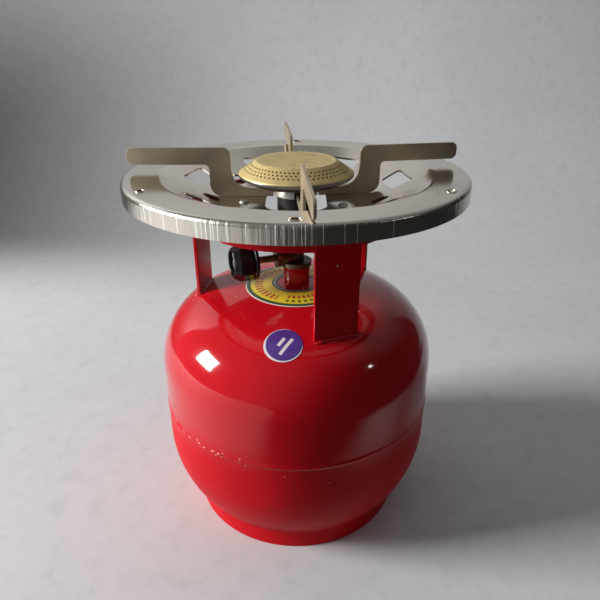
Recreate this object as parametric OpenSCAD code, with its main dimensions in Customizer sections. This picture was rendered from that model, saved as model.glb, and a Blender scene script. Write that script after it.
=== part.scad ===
// Gas stove that stands on top of its own small refillable gas bottle.
// Millimetres, +Z up. The origin is on the floor, on the axis of the bottle.
// Azimuths are counted from the front (-Y) towards the right (+X).

/* [Gas bottle] */
// Outer diameter of the bottle
bottle_d = 200; // [180:1:230]
// Wall of the two pressed half shells
bottle_wall = 2.5; // [1.5:0.1:3.5]
// Height of the bottle's lowest point above the floor
base_clearance = 3.5; // [2.5:0.5:12]
// Radius of the long side curve of the lower shell
lower_side_r = 80; // [70:1:85]
// Radius of the tight curve at the rim of the bottle's bottom
lower_knuckle_r = 16; // [10:1:24]
// Height of the straight wall between the two curved ends
straight_h = 57; // [40:1:90]
// Height of the girth seam above the start of the straight wall
seam_rise = 25.6; // [14:0.2:30]
// Radius of the shoulder curve of the upper shell
shoulder_r = 50; // [40:1:60]
// Height of the crown above the top of the shoulder curve
crown_rise = 4.5; // [3:0.5:20]
// Length of the backing lip behind the girth seam, each way
seam_lip = 8; // [4:0.5:10]
// How far the girth weld stands proud of the wall
girth_weld_h = 1.3; // [0.6:0.1:2.5]
// Width of the girth weld
girth_weld_w = 5; // [3:0.5:8]

/* [Foot ring] */
// Outer diameter of the foot ring
foot_d = 161; // [158:1:166]
// Thickness of the foot ring's strip
foot_t = 2.5; // [1.5:0.1:3]
// Leg length of the fillet weld between foot ring and bottle
foot_weld_leg = 1.8; // [1:0.1:3]

/* [Neck] */
// Outer diameter of the neck bush
bush_d = 18.7; // [18:0.1:24]
// Height of the neck bush above the bottle
bush_h = 14.3; // [8:0.1:20]
// Length of the neck bush below the bottle's top
bush_tail = 9; // [5:0.5:14]
// Diameter of the bore that takes the valve's spigot
bush_bore_d = 13.2; // [11:0.1:14]

/* [Labels] */
// Inner diameter of the ring label
label_in_d = 28; // [26:1:36]
// Outer diameter of the ring label
label_out_d = 74; // [60:1:84]
// Diameter of the round sticker on the shoulder
sticker_d = 24.4; // [16:0.2:30]
// Azimuth of the sticker
sticker_az = -6.3; // [-12:0.1:0]
// Distance of the sticker's centre from the bottle's axis
sticker_reach = 73; // [70:0.5:80]
// Thickness of labels
label_t = 0.2; // [0.1:0.05:0.4]

/* [Stand] */
// Width of each leg strap
leg_w = 30; // [20:1:40]
// Thickness of each leg strap
leg_t = 2.5; // [1.5:0.1:4]
// Distance from the axis to the outer face of the legs
leg_reach = 71; // [66:0.5:76]
// Azimuth of the front leg
leg_az = 21; // [16:0.5:26]
// Height of the stand's top above the bottle's top
stand_h = 62.8; // [58:0.1:90]
// Height of the ring's skirt
ring_skirt_h = 14; // [8:0.2:18]
// Thickness of the ring's sheet
ring_t = 2; // [1.2:0.1:3]
// Flat margin of the ring inside the pan's screws
ring_margin = 2; // [1.5:0.1:3]
// Radius of the weld beads at the feet of the legs
leg_weld_r = 2.2; // [1.4:0.1:3]

/* [Drip pan] */
// Outer diameter of the pan
pan_d = 227.2; // [222:0.2:260]
// Thickness of the pan's sheet
pan_t = 1.2; // [0.8:0.1:1.8]
// Height of the pan's outer band
pan_band_h = 11.1; // [8:0.1:16]
// Radius of the pan's outer top edge
pan_edge_r = 3; // [2:0.1:5]
// Diameter at the inner edge of the flat rim
pan_rim_in_d = 180; // [176:1:190]
// Depth of the bowl below the rim
bowl_depth = 17.5; // [14:0.5:20]
// Diameter of the bowl's flat floor
bowl_floor_d = 106; // [105:1:112]
// Radius of the bends between rim, slope and floor
pan_bend_r = 6; // [3:0.5:8]
// Number of windows in the sloped wall
window_count = 7; // [5:1:8]
// Azimuth of the front window
window_az = -3; // [-4:0.5:0]
// Distance of the windows' inner edge from the axis
window_in_r = 64.5; // [64:0.5:68]
// Distance of the windows' outer edge from the axis
window_out_r = 78.5; // [74:0.5:82]
// Angle that each window covers
window_angle = 21.2; // [16:0.2:30]
// Corner radius of the windows
window_corner_r = 2.5; // [1:0.5:4]
// Diameter of the round holes between the windows
vent_d = 11; // [7:0.5:12]
// Distance of the round holes from the axis
vent_reach = 57; // [56:0.5:58]
// Number of slots in the flat rim
rim_slot_count = 6; // [4:1:8]
// Distance of the rim slots from the pan's outer edge
rim_slot_inset = 8.6; // [7:0.2:14]
// Length of a rim slot
rim_slot_l = 6; // [5:0.5:12]
// Width of a rim slot
rim_slot_w = 4; // [2:0.5:6]
// Width of the opening in the middle of the floor
opening_w = 40; // [38:1:44]
// Length of the opening in the middle of the floor
opening_l = 68; // [60:1:69]
// Corner radius of that opening
opening_corner_r = 12; // [6:1:18]
// Diameter of the screws that hold the pan
screw_d = 4; // [3:0.5:5]
// Distance of those screws from the axis
screw_reach = 37.5; // [36:0.5:46]
// Azimuth of the first screw
screw_az = -66; // [-68:1:-64]

/* [Pan supports] */
// Thickness of a support's sheet
arm_t = 2; // [1.5:0.1:3]
// Azimuth of the front support
arm_az = 5; // [2:0.5:8]
// Angle between the front support and each side support
arm_spread = 95; // [88:0.5:98]
// Distance of a support's tip from the axis
arm_reach = 112; // [95:0.5:113]
// Height of the supports' top above the pan's rim
arm_rise = 15; // [13:0.5:24]
// Height of the horizontal bar of a support
arm_bar_h = 11.2; // [8:0.2:12]
// Gap between the front support's bent tip and the pan's rim
front_tip_gap = 0.4; // [0.3:0.1:1]
// Width of the upright riser of a support
riser_w = 14.5; // [10:0.5:15]
// How far the riser reaches out past the pan's flat floor
riser_overhang = 5; // [4:0.5:7]
// Gap between the air shutter and the supports' feet
arm_foot_gap = 1; // [0.5:0.1:8]
// Height of the foot above the pan's floor
arm_foot_h = 5.5; // [4:0.5:6.5]
// Width of the tab that locks in the pan's floor
tab_w = 5.5; // [4:0.5:6]
// How far the tab stands out below the floor
tab_tail = 3; // [1:0.5:5]
// Distance of the tab from the opening in the pan's floor
tab_margin = 3; // [2:0.5:4]

/* [Burner] */
// Diameter of the burner cap over its lip
cap_d = 76.4; // [70:0.2:80]
// Diameter of the cap's flat top
cap_top_d = 54; // [44:1:58]
// Height of the cap above its lip
cap_h = 8.6; // [6:0.2:11]
// Thickness of the cap's sheet
cap_t = 0.9; // [0.6:0.1:1.3]
// Height of the cap's plain lip
cap_lip_h = 1.4; // [0.8:0.1:2]
// Rows of flame holes in the cap's slope
port_rows = 3; // [1:1:3]
// Flame holes in each row
port_count = 68; // [24:4:72]
// Diameter of a flame hole
port_d = 1.5; // [0.8:0.1:1.8]
// Height of the burner bowl's rim below the pan's rim
burner_drop = 1; // [0:0.2:2]
// Depth of the burner bowl
burner_bowl_h = 7.4; // [6:0.2:8]
// Height of the bowl's upright rim
burner_rim_h = 1.8; // [1.6:0.1:3.5]
// Thickness of the burner bowl's sheet
burner_bowl_t = 1.2; // [0.8:0.1:1.6]
// Outer diameter of the mixing tube
tube_d = 26; // [22:0.2:27]
// Wall of the mixing tube
tube_wall = 1.4; // [0.8:0.1:2]
// Angle that each air port covers
air_port_angle = 40; // [20:1:60]
// Height of the air shutter
shutter_h = 7.2; // [5:0.1:8]
// Thickness of the air shutter's sheet
shutter_t = 1.2; // [0.8:0.1:1.6]
// Azimuth of the middle of the front air port
air_port_az = 35; // [30:1:60]
// Extra opening angle of the shutter past the port
shutter_margin = 20; // [10:1:30]
// Diameter of the gas jet's orifice
jet_orifice_d = 0.6; // [0.4:0.1:1]
// Height of the jet hexagon
jet_hex_h = 4; // [3:0.5:6]
// Width of the jet hexagon across its corners
jet_hex_d = 9; // [8:0.5:12]

/* [Valve] */
// Diameter of the valve's flange
valve_flange_d = 21.5; // [18:0.1:24]
// Height of the valve's flange
valve_flange_h = 3.2; // [2:0.1:6]
// Height of the valve chamber's wall above the neck bush
boss_gap = 0.5; // [0.2:0.1:6]
// Azimuth of the spindle
spindle_az = -70; // [-76:1:-62]
// Diameter of the spindle
spindle_d = 5; // [4:0.1:5.4]
// Diameter of the valve chamber
chamber_d = 8.4; // [7.8:0.1:9]
// Wall of the valve body round the chamber
valve_wall = 1.8; // [1.4:0.1:2.4]
// Gap between the valve's flange and the gland nut
gland_gap = 0.5; // [0.3:0.1:4]
// Width of the gland nut across its corners
gland_hex_d = 13.6; // [12:0.2:16]
// Height of the gland nut's hexagon
gland_hex_h = 4.5; // [3:0.5:7]
// Diameter of the column that carries the jet holder
column_d = 11; // [10.4:0.2:14]
// Height of the column above the spindle's axis
column_h = 8.5; // [7.5:0.5:14]
// Travel of the spindle from shut to open
stem_travel = 1.5; // [1:0.1:1.8]

/* [Knob] */
// Diameter of the knob over its corners
knob_d = 27; // [22:0.5:30]
// Length of the knob
knob_l = 17; // [16:0.5:26]
// Number of flats round the knob
knob_flats = 8; // [6:1:12]
// Depth of the flats below the knob's round flange
knob_flat_depth = 1.4; // [0.5:0.1:2.5]
// Radius of the knob's corners
knob_corner_r = 2.4; // [1:0.2:4]
// Distance of the knob's inner face from the bottle's axis
knob_reach = 30.5; // [26:0.5:36]
// Height of the round flange at the knob's inner face
knob_flange_h = 2.6; // [1.5:0.1:4]
// Diameter of the recess in the knob's outer face
knob_recess_d = 17; // [12:0.5:18]
// Depth of that recess
knob_recess_h = 3.5; // [2:0.5:6]

/* [Clearances] */
// Gap between pieces that are pressed or welded together
seat_gap = 0.05; // [0.02:0.01:0.1]
// Radial gap of a sliding or turning fit
run_gap = 0.05; // [0.03:0.01:0.1]
// Gap between loose sheet-metal pieces
sheet_gap = 0.3; // [0.2:0.05:0.5]

/* [Hidden] */
$fn = 96;
ROUND_FN = 32;
HOLE_FN = 24;
ARC_STEPS = 14;
CORNER_STEPS = 6;
// Sliver by which joined solids overlap, overshoot of a cut, and depth of a cut right through the pan.
EPS = 0.01;
OVER = 1;
CUT = 60;

// Lower end of the bottle: crown, knuckle and side curve meet tangentially.
bottle_r = bottle_d / 2;
side_end_angle = 45;
crown_angle = 86;
knuckle_cx = bottle_r - lower_side_r + (lower_side_r - lower_knuckle_r) * cos(side_end_angle);
crown_edge_r = knuckle_cx + lower_knuckle_r * cos(crown_angle);
lower_crown_r = crown_edge_r / cos(crown_angle);
lower_crown_cz = base_clearance + lower_crown_r;
knuckle_cz = lower_crown_cz - (lower_crown_r - lower_knuckle_r) * sin(crown_angle);
side_edge_r = knuckle_cx + lower_knuckle_r * cos(side_end_angle);
wall_z0 = knuckle_cz + (lower_side_r - lower_knuckle_r) * sin(side_end_angle);

// Upper end of the bottle: shoulder curve and crown meet tangentially.
seam_z = wall_z0 + seam_rise;
wall_z1 = wall_z0 + straight_h;
upper_head_h = shoulder_r + crown_rise;
bottle_top = wall_z1 + upper_head_h;
shoulder_cx = bottle_r - shoulder_r;
upper_crown_r = (pow(upper_head_h, 2) - pow(shoulder_r, 2) + pow(shoulder_cx, 2))
    / (2 * (upper_head_h - shoulder_r));
upper_crown_cz = bottle_top - upper_crown_r;
shoulder_angle = atan2(wall_z1 - upper_crown_cz, shoulder_cx);
shoulder_edge_r = shoulder_cx + shoulder_r * cos(shoulder_angle);
bush_r = bush_d / 2;
neck_hole_r = bush_r + seat_gap;

// Stand and pan levels. The ring's skirt lies against the inner faces of the legs.
ring_top = bottle_top + stand_h;
ring_out_r = leg_reach - leg_t - seat_gap;
ring_in_r = ring_out_r - ring_t;
flange_z = ring_top - ring_t;
leg_azimuths = [leg_az, leg_az + 120, leg_az - 120];
floor_z = ring_top + pan_t;
rim_z = floor_z + bowl_depth;
pan_r = pan_d / 2;
rim_in_r = pan_rim_in_d / 2;
floor_r = bowl_floor_d / 2;
slope_angle = atan2(bowl_depth, rim_in_r - floor_r);
bend_shift = pan_t * tan(slope_angle / 2);
rim_slot_reach = pan_r - rim_slot_inset;

// Pan supports. The front one is bent down at its tip.
arm_top = rim_z + arm_rise;
arm_azimuths = [arm_az, arm_az + arm_spread, arm_az + 180, arm_az - arm_spread];
front_tip_drop = arm_rise - arm_bar_h - front_tip_gap;
tab_in = opening_l / 2 + tab_margin;
tab_out = tab_in + tab_w;
tab_corner_r = 1;
riser_out = floor_r + riser_overhang;
riser_in = riser_out - riser_w;
arm_tip_r = 4;
arm_shoulder_r = 5;
arm_throat_r = 12;
arm_toe_r = 2;
arm_heel_r = 8;
arm_pit_r = 3;

// Screws through the pan's floor and the stand ring, in usual proportions.
screw_hole_d = screw_d + 2 * sheet_gap;
ring_hole_r = screw_reach - screw_hole_d / 2 - ring_margin;
screw_azimuths = [for (i = [0:2]) screw_az + 120 * i];
screw_head_d = 1.7 * screw_d;
screw_head_top_d = 1.2 * screw_d;
screw_head_h = 0.3 * screw_d;
nut_h = 0.8 * screw_d;
nut_d = 2 * screw_d;
screw_tail = 1.5;

// Burner levels, from the pan's rim.
lip_z = rim_z - burner_drop;
cap_r = cap_d / 2;
cap_top_r = cap_top_d / 2;
cap_dish = 0.9;
cap_bead_w = 3;
cap_bend_r = 1;
cap_lip_fall = 0.3;
slope_top_z = lip_z + cap_h;
slope_low_z = lip_z + cap_lip_h;
slope_low_r = cap_r - cap_lip_h;
cap_slope = atan2(slope_top_z - slope_low_z, slope_low_r - cap_top_r);
port_l = 6 * cap_t;
bowl_rim_margin = 0.4;
burner_bowl_r = cap_r + bowl_rim_margin;
bowl_low_z = lip_z - burner_bowl_h;
bowl_belly_rise = 1.4;
bowl_belly_shift = 4;
bowl_belly_bend_r = 4;
bowl_rim_bend_r = 0.5;
tube_r = tube_d / 2;
tube_in_r = tube_r - tube_wall;
collar_h = 4.9;
collar_in_r = tube_r + seat_gap;
collar_out_r = collar_in_r + burner_bowl_t;
tube_top = bowl_low_z + collar_h;
shutter_in_r = tube_r + sheet_gap;
shutter_out_r = shutter_in_r + shutter_t;
arm_foot_in = shutter_out_r + arm_foot_gap;
shutter_top = bowl_low_z - sheet_gap;
shutter_z = shutter_top - shutter_h;
port_sill = 0.8;
air_port_h = shutter_h - 2 * port_sill;
air_port_z = shutter_z + port_sill;
shutter_gap_angle = air_port_angle + 2 * shutter_margin;

// Valve and jet levels.
bush_top = bottle_top + bush_h;
bush_low = bottle_top - bush_tail;
spindle_r = spindle_d / 2;
chamber_r = chamber_d / 2;
boss_r = chamber_r + valve_wall;
spindle_z = bush_top + boss_gap + boss_r;
chamber_l = valve_flange_d / 2 + gland_gap;
spigot_r = bush_bore_d / 2 - seat_gap;
spigot_tail = 3;
flange_top = bush_top + valve_flange_h;
column_top = spindle_z + column_h;
socket_r = 4;
socket_l = 4;
gas_bore_r = 1.2;
gas_offset = 2.5;
holder_flange_h = 3;
holder_plug_h = 4;
holder_stem_r = 3.5;
tube_z = column_top + holder_flange_h;
jet_nose_h = 3;
jet_nose_low_d = 0.6 * jet_hex_d;
jet_nose_tip_d = 0.3 * jet_hex_d;
jet_z = air_port_z - jet_hex_h - jet_nose_h;
jet_thread_l = 4;
jet_thread_r = 2;

// Spindle train, measured out from the bottle's axis.
pad_t = 2.5;
pad_r = 3;
pad_stud_r = 1.1;
pad_stud_l = 1.8;
collar_z = seat_gap + pad_t + seat_gap;
stop_collar_l = 1.5;
stop_collar_gap = 0.6;
stop_collar_r = chamber_r - stop_collar_gap;
seal_r = (chamber_r - spindle_r) / 2 - run_gap;
seal_z = collar_z + stop_collar_l + stem_travel + sheet_gap + seal_r;
gland_tail_z = seal_z + seal_r + run_gap;
knob_z = knob_reach;
knob_r = knob_d / 2;
knob_taper = 1;
knob_face = knob_z + knob_l;
knob_floor = knob_face - knob_recess_h;
knob_web = 2.5;
spindle_end = knob_floor - knob_web;
knob_screw_r = 1.4;
knob_screw_l = 9;
knob_screw_head_r = 3.2;
knob_screw_head_h = 1.8;
knob_screw_slot = 0.8;

// Points of an arc about centre c, without its first point.
function arc_to(c, r, a0, a1, n = ARC_STEPS) =
    [for (i = [1:n]) c + r * [cos(a0 + (a1 - a0) * i / n), sin(a0 + (a1 - a0) * i / n)]];

// Shortest signed turn between two angles.
function turn(a0, a1) = let (d = a1 - a0) d > 180 ? d - 360 : d < -180 ? d + 360 : d;

// Points that round the corner p1 between p0 and p2 with radius r.
function corner(p0, p1, p2, r) =
    r <= 0 ? [p1] :
    let (
        d0 = (p0 - p1) / norm(p0 - p1),
        d2 = (p2 - p1) / norm(p2 - p1),
        half = acos(d0 * d2) / 2,
        c = p1 + (d0 + d2) / norm(d0 + d2) * r / sin(half),
        s = p1 + d0 * r / tan(half) - c,
        e = p1 + d2 * r / tan(half) - c,
        a0 = atan2(s[1], s[0]),
        da = turn(a0, atan2(e[1], e[0]))
    )
    [for (i = [0:CORNER_STEPS]) let (a = a0 + da * i / CORNER_STEPS) c + r * [cos(a), sin(a)]];

// Closed outline through points [x, y, corner radius].
function rounded(p) = let (n = len(p)) [
    for (i = [0:n - 1])
        let (a = p[(i + n - 1) % n], b = p[i], c = p[(i + 1) % n])
        each corner([a[0], a[1]], [b[0], b[1]], [c[0], c[1]], b[2])
];

// Outer curve of the lower shell, grown by o, from the axis up to the straight wall.
function lower_curve(o) = concat(
    [[0, base_clearance - o]],
    arc_to([0, lower_crown_cz], lower_crown_r + o, -90, -crown_angle, 4),
    arc_to([knuckle_cx, knuckle_cz], lower_knuckle_r + o, -crown_angle, -side_end_angle),
    arc_to([bottle_r - lower_side_r, wall_z0], lower_side_r + o, -side_end_angle, 0)
);

// Outer curve of the upper shell, grown by o, from the straight wall to radius r_end.
function upper_curve(o, r_end) = concat(
    [[bottle_r + o, wall_z1]],
    arc_to([shoulder_cx, wall_z1], shoulder_r + o, 0, shoulder_angle),
    arc_to([0, upper_crown_cz], upper_crown_r + o, shoulder_angle, acos(r_end / (upper_crown_r + o)))
);

function reversed(p) = [for (i = [len(p) - 1:-1:0]) p[i]];

// Height of the bottle's outside at distance r from the axis, above and below.
function shoulder_height(r) = r < shoulder_edge_r
    ? upper_crown_cz + sqrt(pow(upper_crown_r, 2) - pow(r, 2))
    : wall_z1 + sqrt(pow(shoulder_r, 2) - pow(r - shoulder_cx, 2));
function lower_height(r) = r < crown_edge_r
    ? lower_crown_cz - sqrt(pow(lower_crown_r, 2) - pow(r, 2))
    : r < side_edge_r
    ? knuckle_cz - sqrt(pow(lower_knuckle_r, 2) - pow(r - knuckle_cx, 2))
    : wall_z0 - sqrt(pow(lower_side_r, 2) - pow(r - bottle_r + lower_side_r, 2));

// Turns local +X to point outwards at an azimuth.
module at_azimuth(az) {
    rotate([0, 0, az - 90]) children();
}

// Turns local +Z to point outwards along the spindle.
module on_spindle() {
    translate([0, 0, spindle_z]) at_azimuth(spindle_az) rotate([0, 90, 0]) children();
}

module ring_solid(r_out, r_in, h) {
    difference() {
        cylinder(r = r_out, h = h);
        translate([0, 0, -EPS]) cylinder(r = r_in, h = h + 2 * EPS);
    }
}

// The bottle's upper end as a filled solid, grown by o.
module upper_head_solid(o = 0) {
    rotate_extrude()
        polygon(concat([[0, seam_z], [bottle_r + o, seam_z]], upper_curve(o, 0)));
}

module upper_shell() {
    color("firebrick") rotate_extrude()
        polygon(concat(
            [[bottle_r, seam_z]],
            upper_curve(0, neck_hole_r),
            reversed(upper_curve(-bottle_wall, neck_hole_r)),
            [[bottle_r - bottle_wall, seam_z]]
        ));
}

module lower_shell() {
    lip_out = bottle_r - bottle_wall - seat_gap;
    lip_in = lip_out - bottle_wall;
    color("firebrick") rotate_extrude()
        polygon(concat(
            lower_curve(0),
            [
                [bottle_r, seam_z],
                [lip_out, seam_z],
                [lip_out, seam_z + seam_lip],
                [lip_in, seam_z + seam_lip],
                [lip_in, seam_z - seam_lip],
                [bottle_r - bottle_wall, seam_z - seam_lip - bottle_wall]
            ],
            reversed(lower_curve(-bottle_wall))
        ));
}

// Low bead of circular section on the outside of the girth seam.
module girth_weld() {
    bead_r = (pow(girth_weld_h, 2) + pow(girth_weld_w / 2, 2)) / (2 * girth_weld_h);
    color("firebrick") rotate_extrude()
        difference() {
            translate([bottle_r + girth_weld_h - bead_r, seam_z]) circle(r = bead_r);
            translate([bottle_r - 2 * bead_r, seam_z - bead_r - OVER])
                square([2 * bead_r, 2 * (bead_r + OVER)]);
        }
}

module foot_ring() {
    r = foot_d / 2;
    color("firebrick") rotate_extrude()
        polygon([
            [r - foot_t, 0],
            [r, 0],
            [r, lower_height(r) - seat_gap],
            [r - foot_t, lower_height(r - foot_t) - seat_gap]
        ]);
}

module foot_weld() {
    r = foot_d / 2 + EPS;
    reach = r + foot_weld_leg;
    color("firebrick") rotate_extrude()
        polygon([
            [r, lower_height(r) - foot_weld_leg],
            [reach, lower_height(reach) - seat_gap],
            [r, lower_height(r) - seat_gap]
        ]);
}

module neck_bush() {
    color("firebrick") translate([0, 0, bush_low])
        ring_solid(bush_r, bush_bore_d / 2, bush_top - bush_low);
}

// Curve of the bottle's crown, grown by o, from radius r_out in to radius r_in.
function crown_curve(o, r_out, r_in) =
    let (r = upper_crown_r + o, a0 = acos(r_out / r), a1 = acos(r_in / r))
    concat([[r_out, upper_crown_cz + r * sin(a0)]], arc_to([0, upper_crown_cz], r, a0, a1));

// Thin skin on the crown.
module ring_label() {
    r_out = label_out_d / 2;
    r_in = label_in_d / 2;
    color("gold") rotate_extrude()
        polygon(concat(
            crown_curve(seat_gap + label_t, r_out, r_in),
            reversed(crown_curve(seat_gap, r_out, r_in))
        ));
}

module shoulder_sticker() {
    angle = acos((sticker_reach - shoulder_cx) / shoulder_r);
    color("indigo") intersection() {
        difference() {
            upper_head_solid(seat_gap + label_t);
            upper_head_solid(seat_gap);
        }
        at_azimuth(sticker_az)
            translate([shoulder_cx, 0, wall_z1])
                rotate([0, 90 - angle, 0])
                    translate([0, 0, shoulder_r / 2]) cylinder(d = sticker_d, h = shoulder_r);
    }
}

// Flat strap that stands on the bottle's shoulder.
module leg_strap(az) {
    at_azimuth(az)
        translate([leg_reach - leg_t, -leg_w / 2, wall_z1])
            cube([leg_t, leg_w, ring_top - wall_z1]);
}

module leg(az) {
    color("firebrick") difference() {
        leg_strap(az);
        upper_head_solid();
    }
}

module front_leg() {
    leg(leg_azimuths[0]);
}

module rear_leg() {
    leg(leg_azimuths[1]);
}

module left_leg() {
    leg(leg_azimuths[2]);
}

// One bead outside and one inside each leg.
module leg_welds() {
    color("firebrick") difference() {
        for (az = leg_azimuths)
            at_azimuth(az)
                for (r = [leg_reach, leg_reach - leg_t])
                    translate([r, 0, shoulder_height(r)]) rotate([90, 0, 0])
                        cylinder(r = leg_weld_r, h = leg_w, center = true);
        for (az = leg_azimuths) leg_strap(az);
        upper_head_solid();
    }
}

// Holes through ring and pan for the screws.
module screw_holes() {
    for (az = screw_azimuths)
        at_azimuth(az) translate([screw_reach, 0, floor_z - CUT / 2])
            cylinder(d = screw_hole_d, h = CUT, $fn = HOLE_FN);
}

// Slots through ring and pan for the tabs of the supports.
module tab_slots() {
    for (az = arm_azimuths)
        at_azimuth(az)
            translate([tab_in - sheet_gap, -arm_t / 2 - sheet_gap, floor_z - CUT / 2])
                cube([tab_w + 2 * sheet_gap, arm_t + 2 * sheet_gap, CUT]);
}

// Flat ring with a skirt turned down inside the tops of the legs.
module stand_ring() {
    color("firebrick") difference() {
        rotate_extrude()
            polygon([
                [ring_in_r, ring_top - ring_skirt_h],
                [ring_out_r, ring_top - ring_skirt_h],
                [ring_out_r, ring_top],
                [ring_hole_r, ring_top],
                [ring_hole_r, flange_z],
                [ring_in_r, flange_z]
            ]);
        screw_holes();
        tab_slots();
    }
}

// Sheet of the pan before its holes are cut.
module pan_sheet() {
    band_low = rim_z - pan_band_h;
    rotate_extrude()
        polygon(rounded([
            [0, floor_z, 0],
            [floor_r, floor_z, pan_bend_r],
            [rim_in_r, rim_z, pan_bend_r + pan_t],
            [pan_r, rim_z, pan_edge_r],
            [pan_r, band_low, 0],
            [pan_r - pan_t, band_low, 0],
            [pan_r - pan_t, rim_z - pan_t, pan_edge_r - pan_t],
            [rim_in_r + bend_shift, rim_z - pan_t, pan_bend_r],
            [floor_r + bend_shift, floor_z - pan_t, pan_bend_r + pan_t],
            [0, floor_z - pan_t, 0]
        ]));
}

// Window outline: four points on two circles, with rounded corners.
module window_cut() {
    a = window_angle / 2;
    c = window_corner_r;
    linear_extrude(height = CUT)
        polygon(rounded([
            [window_in_r * cos(a), -window_in_r * sin(a), c],
            [window_out_r * cos(a), -window_out_r * sin(a), c],
            [window_out_r * cos(a), window_out_r * sin(a), c],
            [window_in_r * cos(a), window_in_r * sin(a), c]
        ]));
}

module rim_slot_cut() {
    straight = max(rim_slot_l - rim_slot_w, EPS);
    translate([rim_slot_reach, 0, 0]) {
        translate([-rim_slot_w / 2, -straight / 2, 0]) cube([rim_slot_w, straight, CUT]);
        for (s = [-1, 1])
            translate([0, s * straight / 2, 0]) cylinder(d = rim_slot_w, h = CUT, $fn = HOLE_FN);
    }
}

module drip_pan() {
    w = opening_w / 2;
    l = opening_l / 2;
    step = 360 / window_count;
    color("silver") difference() {
        pan_sheet();
        translate([0, 0, floor_z - CUT / 2]) {
            linear_extrude(height = CUT)
                polygon(rounded([for (p = [[w, l], [-w, l], [-w, -l], [w, -l]])
                    [p[0], p[1], opening_corner_r]]));
            for (i = [0:window_count - 1]) {
                at_azimuth(window_az + step * i) window_cut();
                at_azimuth(window_az + step * (i + 0.5))
                    translate([vent_reach, 0, 0]) cylinder(d = vent_d, h = CUT);
            }
            for (i = [0:rim_slot_count - 1])
                at_azimuth(360 / rim_slot_count * i) rim_slot_cut();
        }
        screw_holes();
        tab_slots();
    }
}

module pan_screws() {
    shank = pan_t + ring_t + nut_h + screw_tail;
    color("gainsboro")
        for (az = screw_azimuths)
            at_azimuth(az) translate([screw_reach, 0, floor_z]) {
                cylinder(d1 = screw_head_d, d2 = screw_head_top_d, h = screw_head_h, $fn = ROUND_FN);
                translate([0, 0, -shank]) cylinder(d = screw_d, h = shank + EPS, $fn = HOLE_FN);
            }
}

module pan_nuts() {
    color("gainsboro")
        for (az = screw_azimuths)
            at_azimuth(az) translate([screw_reach, 0, flange_z - nut_h])
                difference() {
                    cylinder(d = nut_d, h = nut_h, $fn = 6);
                    translate([0, 0, -EPS])
                        cylinder(d = screw_d + 2 * seat_gap, h = nut_h + 2 * EPS, $fn = HOLE_FN);
                }
}

// Upright sheet: foot on the pan's floor, riser, and bar out to the tip, which may be bent down.
module pan_support(az, drop = 0) {
    bar_low = arm_top - arm_bar_h;
    foot_top = floor_z + arm_foot_h;
    tab_low = floor_z - pan_t - tab_tail;
    color("darkgray") at_azimuth(az)
        rotate([90, 0, 0])
            linear_extrude(height = arm_t, center = true)
                polygon(rounded([
                    [arm_reach, bar_low - drop, arm_tip_r],
                    [arm_reach, arm_top - drop, arm_tip_r],
                    [riser_in, arm_top, arm_shoulder_r],
                    [riser_in, foot_top, arm_throat_r],
                    [arm_foot_in, foot_top, arm_toe_r],
                    [arm_foot_in, floor_z, 0],
                    [tab_in, floor_z, 0],
                    [tab_in, tab_low, tab_corner_r],
                    [tab_out, tab_low, tab_corner_r],
                    [tab_out, floor_z, 0],
                    [riser_out, floor_z, arm_heel_r],
                    [riser_out, bar_low, arm_pit_r]
                ]));
}

module front_pan_support() {
    pan_support(arm_azimuths[0], front_tip_drop);
}

module right_pan_support() {
    pan_support(arm_azimuths[1]);
}

module rear_pan_support() {
    pan_support(arm_azimuths[2]);
}

module left_pan_support() {
    pan_support(arm_azimuths[3]);
}

// Rows of flame holes, square to the cap's slope and staggered by half a step.
module flame_ports() {
    step = 360 / port_count;
    for (row = [0:port_rows - 1]) {
        f = (row + 1) / (port_rows + 1);
        r = slope_low_r + (cap_top_r - slope_low_r) * f;
        z = slope_low_z + (slope_top_z - slope_low_z) * f;
        for (i = [0:port_count - 1])
            rotate([0, 0, step * (i + 0.5 * (row % 2))])
                translate([r, 0, z]) rotate([0, 90 - cap_slope, 0])
                    cylinder(d = port_d, h = port_l, center = true, $fn = HOLE_FN);
    }
}

module burner_cap() {
    shift = cap_t * tan(cap_slope / 2);
    bead_r = cap_top_r - cap_bead_w;
    bead_z = slope_top_z - cap_dish / 3;
    color("goldenrod") difference() {
        rotate_extrude()
            polygon(rounded([
                [0, slope_top_z - cap_dish, 0],
                [bead_r, bead_z, 0],
                [cap_top_r, slope_top_z, cap_bend_r],
                [slope_low_r, slope_low_z, cap_bend_r],
                [cap_r, slope_low_z - cap_lip_fall, 0],
                [cap_r, lip_z, 0],
                [cap_r - cap_t, lip_z, 0],
                [slope_low_r - shift, slope_low_z - cap_t, cap_bend_r],
                [cap_top_r - shift, slope_top_z - cap_t, cap_bend_r],
                [bead_r - shift, bead_z - cap_t, 0],
                [0, slope_top_z - cap_dish - cap_t, 0]
            ]));
        flame_ports();
    }
}

// Shallow dish with an upright rim and a collar for the mixing tube.
module burner_bowl() {
    r = burner_bowl_r;
    t = burner_bowl_t;
    rim_low = lip_z - burner_rim_h;
    belly_r = (r + collar_out_r) / 2 + bowl_belly_shift;
    belly_z = bowl_low_z + bowl_belly_rise;
    color("dimgray") rotate_extrude()
        polygon(rounded([
            [r, lip_z, 0],
            [r, rim_low, bowl_rim_bend_r + t],
            [belly_r, belly_z, bowl_belly_bend_r],
            [collar_in_r, bowl_low_z, 0],
            [collar_in_r, bowl_low_z + collar_h, 0],
            [collar_out_r, bowl_low_z + collar_h, 0],
            [collar_out_r, bowl_low_z + t, 0],
            [belly_r, belly_z + t, bowl_belly_bend_r],
            [r - t, rim_low + t, bowl_rim_bend_r],
            [r - t, lip_z, 0]
        ]));
}

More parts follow.
